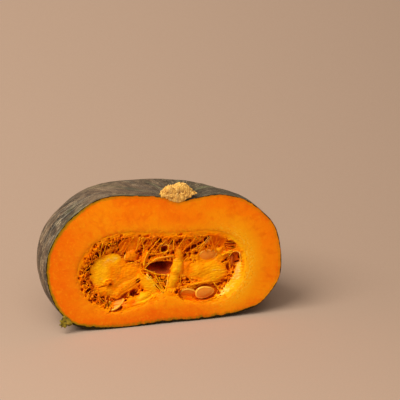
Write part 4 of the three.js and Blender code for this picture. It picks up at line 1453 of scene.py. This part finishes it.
def build_stem(stem):
    deselect()
    bpy.ops.mesh.primitive_uv_sphere_add(segments=208, ring_count=104, radius=1)
    piece = added("cork_stem")
    unit = places_of(piece)
    angle = np.arctan2(unit[:, 1], unit[:, 0])
    share = np.arccos(np.clip(unit[:, 2], -1, 1)) / math.pi
    profile = curve_points(STEM_PROFILE, 1 - share)
    lumps = 1 + 0.05 * np.cos(stem.ridges * angle) + 0.05 * np.sin(3 * angle + 7 * share)
    lumps = lumps + 0.03 * np.cos(5 * angle - 4 * share)
    radius = np.maximum(profile[:, 0], 0) * lumps
    places = np.stack([STEM_X + radius * np.cos(angle), radius * np.sin(angle), profile[:, 1]], axis=-1)

    # the top is highest right of the middle and falls away to both sides
    side = places[:, 0] - STEM_X
    high = soft_step(111, 119, places[:, 2])
    peak = 0.8 * np.exp(-(((side - 4.5) / 4) ** 2)) - 3.4 * soft_step(6, 13, side)
    peak = peak - 1.8 * soft_step(-5, -12, side)
    places[:, 2] += high * (peak - 0.9 * np.exp(-(((side + 3) / 2.4) ** 2)))
    front = places[:, 1] < 0
    places[front, 1] = places[front, 1] * 0.07
    middle = np.array([STEM_X, 2, 114.5])
    away = (places - middle) / np.array([14, 14, 6.5]) ** 2
    away /= np.linalg.norm(away, axis=1, keepdims=True)
    crumbs = np.array([noise.voronoi(Vector(p))[0][0] for p in places / np.array([2.2, 2.6, 3])])
    coarse = sample(noise.noise, places, 3.2)
    fine = sample(noise.noise, places, 1.0)
    rough = soft_step(107.5, 110, places[:, 2])
    height = ((0.42 - crumbs) * 1.3 + coarse * 1.1 + fine * 0.5) * stem.lumps * rough
    places = places + away * np.clip(height, -2, 1)[:, None]
    places[:, 1] = np.maximum(places[:, 1], -1.2)
    move_to(piece, to_frame(places))
    store(piece, "raised", np.clip(0.5 + height / (2.4 * stem.lumps), 0, 1))
    take(piece)
    bpy.ops.object.shade_smooth_by_angle(angle=math.radians(50))
    piece.data.materials.append(stem_material(stem))
    return settle(piece, "stem", "stem")


def stem_material(stem):
    """Dry cork: straw with brown cracks and upright fibres."""
    material, tree, surface = new_material("Cork stem")
    place = object_place(tree)
    upright = stretched(tree, place, (1, 1, 1), (0, math.pi / 2, 0))
    threads = use_group(tree, fibre_group(), Vector=upright, Scale=700.0).outputs["Threads"]
    crumbs = noise_value(tree, place, 340, detail=5, roughness=0.7, distortion=0.8)
    raised = attribute(tree, "raised")
    color = blend(tree, between(tree, threads, 0.1, 0.9), rgb(230, 170, 80), tuple(stem.cork))
    color = blend(tree, between(tree, crumbs, 0.52, 0.7, 0, 0.7), color, rgb(252, 220, 150))
    color = blend(tree, between(tree, raised, 0.36, 0.1, 0, 0.6), color, tuple(stem.crack))
    color = blend(tree, between(tree, crumbs, 0.46, 0.36, 0, 0.85), color, rgb(158, 86, 18))
    feed(tree, surface.inputs["Base Color"], color)
    surface.inputs["Roughness"].default_value = 0.85
    surface.inputs["Specular IOR Level"].default_value = 0.25
    height = total(tree, crumbs, product(tree, threads, 0.6))
    feed(tree, surface.inputs["Normal"], bump(tree, height, 0.0012, 0.9))
    return material


class MESH_OT_squash_stem(bpy.types.Operator):
    """Model the corky stub of the stem, broken off flat at the cut"""

    bl_idname = "mesh.squash_stem"
    bl_label = "Stem"

    def execute(self, context):
        build_stem(context.scene.squash_stem)
        return {"FINISHED"}


# Stage


class StageSettings(bpy.types.PropertyGroup):
    paper: color_setting("Paper", "Colour of the floor and backdrop", rgb(177, 150, 128))
    key: bpy.props.FloatProperty(name="Key light", description="Power of the key light", default=25, min=0)
    fill: bpy.props.FloatProperty(name="Fill light", description="Power of the fill light", default=9, min=0)


CAMERA_TILT = math.radians(16)
CAMERA_HEADING = math.radians(14.5)
CAMERA_LENS = 90


def build_stage(stage):
    deselect()
    bpy.ops.mesh.primitive_plane_add(size=6, location=(0, 0, 0))
    paper = added("paper_sweep")
    pick_edges(paper, lambda a, b: a.y > 2.9 and b.y > 2.9)
    bpy.ops.mesh.extrude_region_move(TRANSFORM_OT_translate={"value": (0, 0, 3)})
    pick_edges(paper, lambda a, b: max(a.z, b.z) < 0.1 and min(a.y, b.y) > 2.9)
    bpy.ops.mesh.bevel(offset=0.9, segments=24, affect="EDGES")
    bpy.ops.object.mode_set(mode="OBJECT")
    bpy.ops.object.shade_smooth_by_angle(angle=math.radians(30))
    paper.location.y = -2.1
    bpy.ops.object.transform_apply(location=True, rotation=True, scale=True)
    paper.rotation_euler.z = -CAMERA_HEADING
    bpy.ops.object.transform_apply(location=True, rotation=True, scale=True)
    material, tree, surface = new_material("Studio paper")
    place = object_place(tree)
    grain = noise_value(tree, place, 900, detail=2)
    broad = noise_value(tree, place, 3, detail=2)
    color = blend(tree, between(tree, grain, 0.3, 0.7, 0, 0.12), tuple(stage.paper), rgb(150, 118, 96))
    color = blend(tree, between(tree, broad, 0.3, 0.7, 0, 0.08), color, rgb(180, 150, 128))
    feed(tree, surface.inputs["Base Color"], color)
    surface.inputs["Roughness"].default_value = 0.9
    surface.inputs["Specular IOR Level"].default_value = 0.1
    paper.data.materials.append(material)
    deselect()

    def area(name, place, aim, size, power, color):
        bpy.ops.object.light_add(type="AREA", location=place)
        light = bpy.context.object
        light.name = name
        light.data.size = size
        light.data.energy = power
        light.data.color = color
        light.rotation_euler = (Vector(aim) - Vector(place)).to_track_quat("-Z", "Y").to_euler()
        light.select_set(False)

    area("key_light", (-0.8, -0.5, 1.15), (0, 0, 0.05), 0.9, stage.key, (1.0, 0.98, 0.95))
    area("fill_light", (-0.1, -1.1, 1.5), (0, 0, 0.05), 1.0, stage.fill, (1.0, 0.98, 0.96))
    world = bpy.data.worlds.new("Studio")
    world.use_nodes = True
    background = world.node_tree.nodes["Background"]
    background.inputs["Color"].default_value = (1.0, 0.96, 0.92, 1)
    background.inputs["Strength"].default_value = 0.26
    bpy.context.scene.world = world
    bpy.context.scene.view_settings.view_transform = "Standard"


def build_camera():
    deselect()
    bpy.ops.object.camera_add(location=frame_place(*VIEW_PLACE))
    camera = bpy.context.object
    camera.name = "camera"
    camera.data.lens = CAMERA_LENS
    camera.data.sensor_width = 36
    camera.rotation_euler = (math.pi / 2 - CAMERA_TILT, 0, -CAMERA_HEADING)
    bpy.context.scene.camera = camera
    deselect()


class SCENE_OT_squash_stage(bpy.types.Operator):
    """Lay the paper sweep, set the lights and place the camera"""

    bl_idname = "scene.squash_stage"
    bl_label = "Stage"

    def execute(self, context):
        build_camera()
        build_stage(context.scene.squash_stage)
        return {"FINISHED"}


# Panel and registration

SETTINGS = {
    "squash_skin": SkinSettings,
    "squash_flesh": FleshSettings,
    "squash_flap": FlapSettings,
    "squash_pulp": PulpSettings,
    "squash_seed": SeedSettings,
    "squash_stem": StemSettings,
    "squash_stage": StageSettings,
}
OPERATORS = [
    MESH_OT_squash_half, MESH_OT_squash_flap, MESH_OT_squash_pulp, MESH_OT_squash_strands,
    MESH_OT_squash_seeds, MESH_OT_squash_stem, SCENE_OT_squash_stage,
]


class VIEW3D_PT_squash(bpy.types.Panel):
    """Steps that model the squash, in order, with their sizes and colours"""

    bl_label = "Halved kabocha squash"
    bl_space_type = "VIEW_3D"
    bl_region_type = "UI"
    bl_category = "Squash"

    def draw(self, context):
        for operator in OPERATORS:
            self.layout.operator(operator.bl_idname)
        for name, settings in SETTINGS.items():
            box = self.layout.box()
            for label in settings.__annotations__:
                box.prop(getattr(context.scene, name), label)


CLASSES = [*SETTINGS.values(), *OPERATORS, VIEW3D_PT_squash]


def register():
    for cls in CLASSES:
        bpy.utils.register_class(cls)
    for name, settings in SETTINGS.items():
        setattr(bpy.types.Scene, name, bpy.props.PointerProperty(type=settings))


def unregister():
    for name in SETTINGS:
        delattr(bpy.types.Scene, name)
    for cls in reversed(CLASSES):
        bpy.utils.unregister_class(cls)


def main():
    register()
    bpy.ops.scene.squash_stage()
    bpy.ops.mesh.squash_half()
    bpy.ops.mesh.squash_flap()
    bpy.ops.mesh.squash_pulp()
    bpy.ops.mesh.squash_strands()
    bpy.ops.mesh.squash_seeds()
    bpy.ops.mesh.squash_stem()


if __name__ == "__main__":
    main()
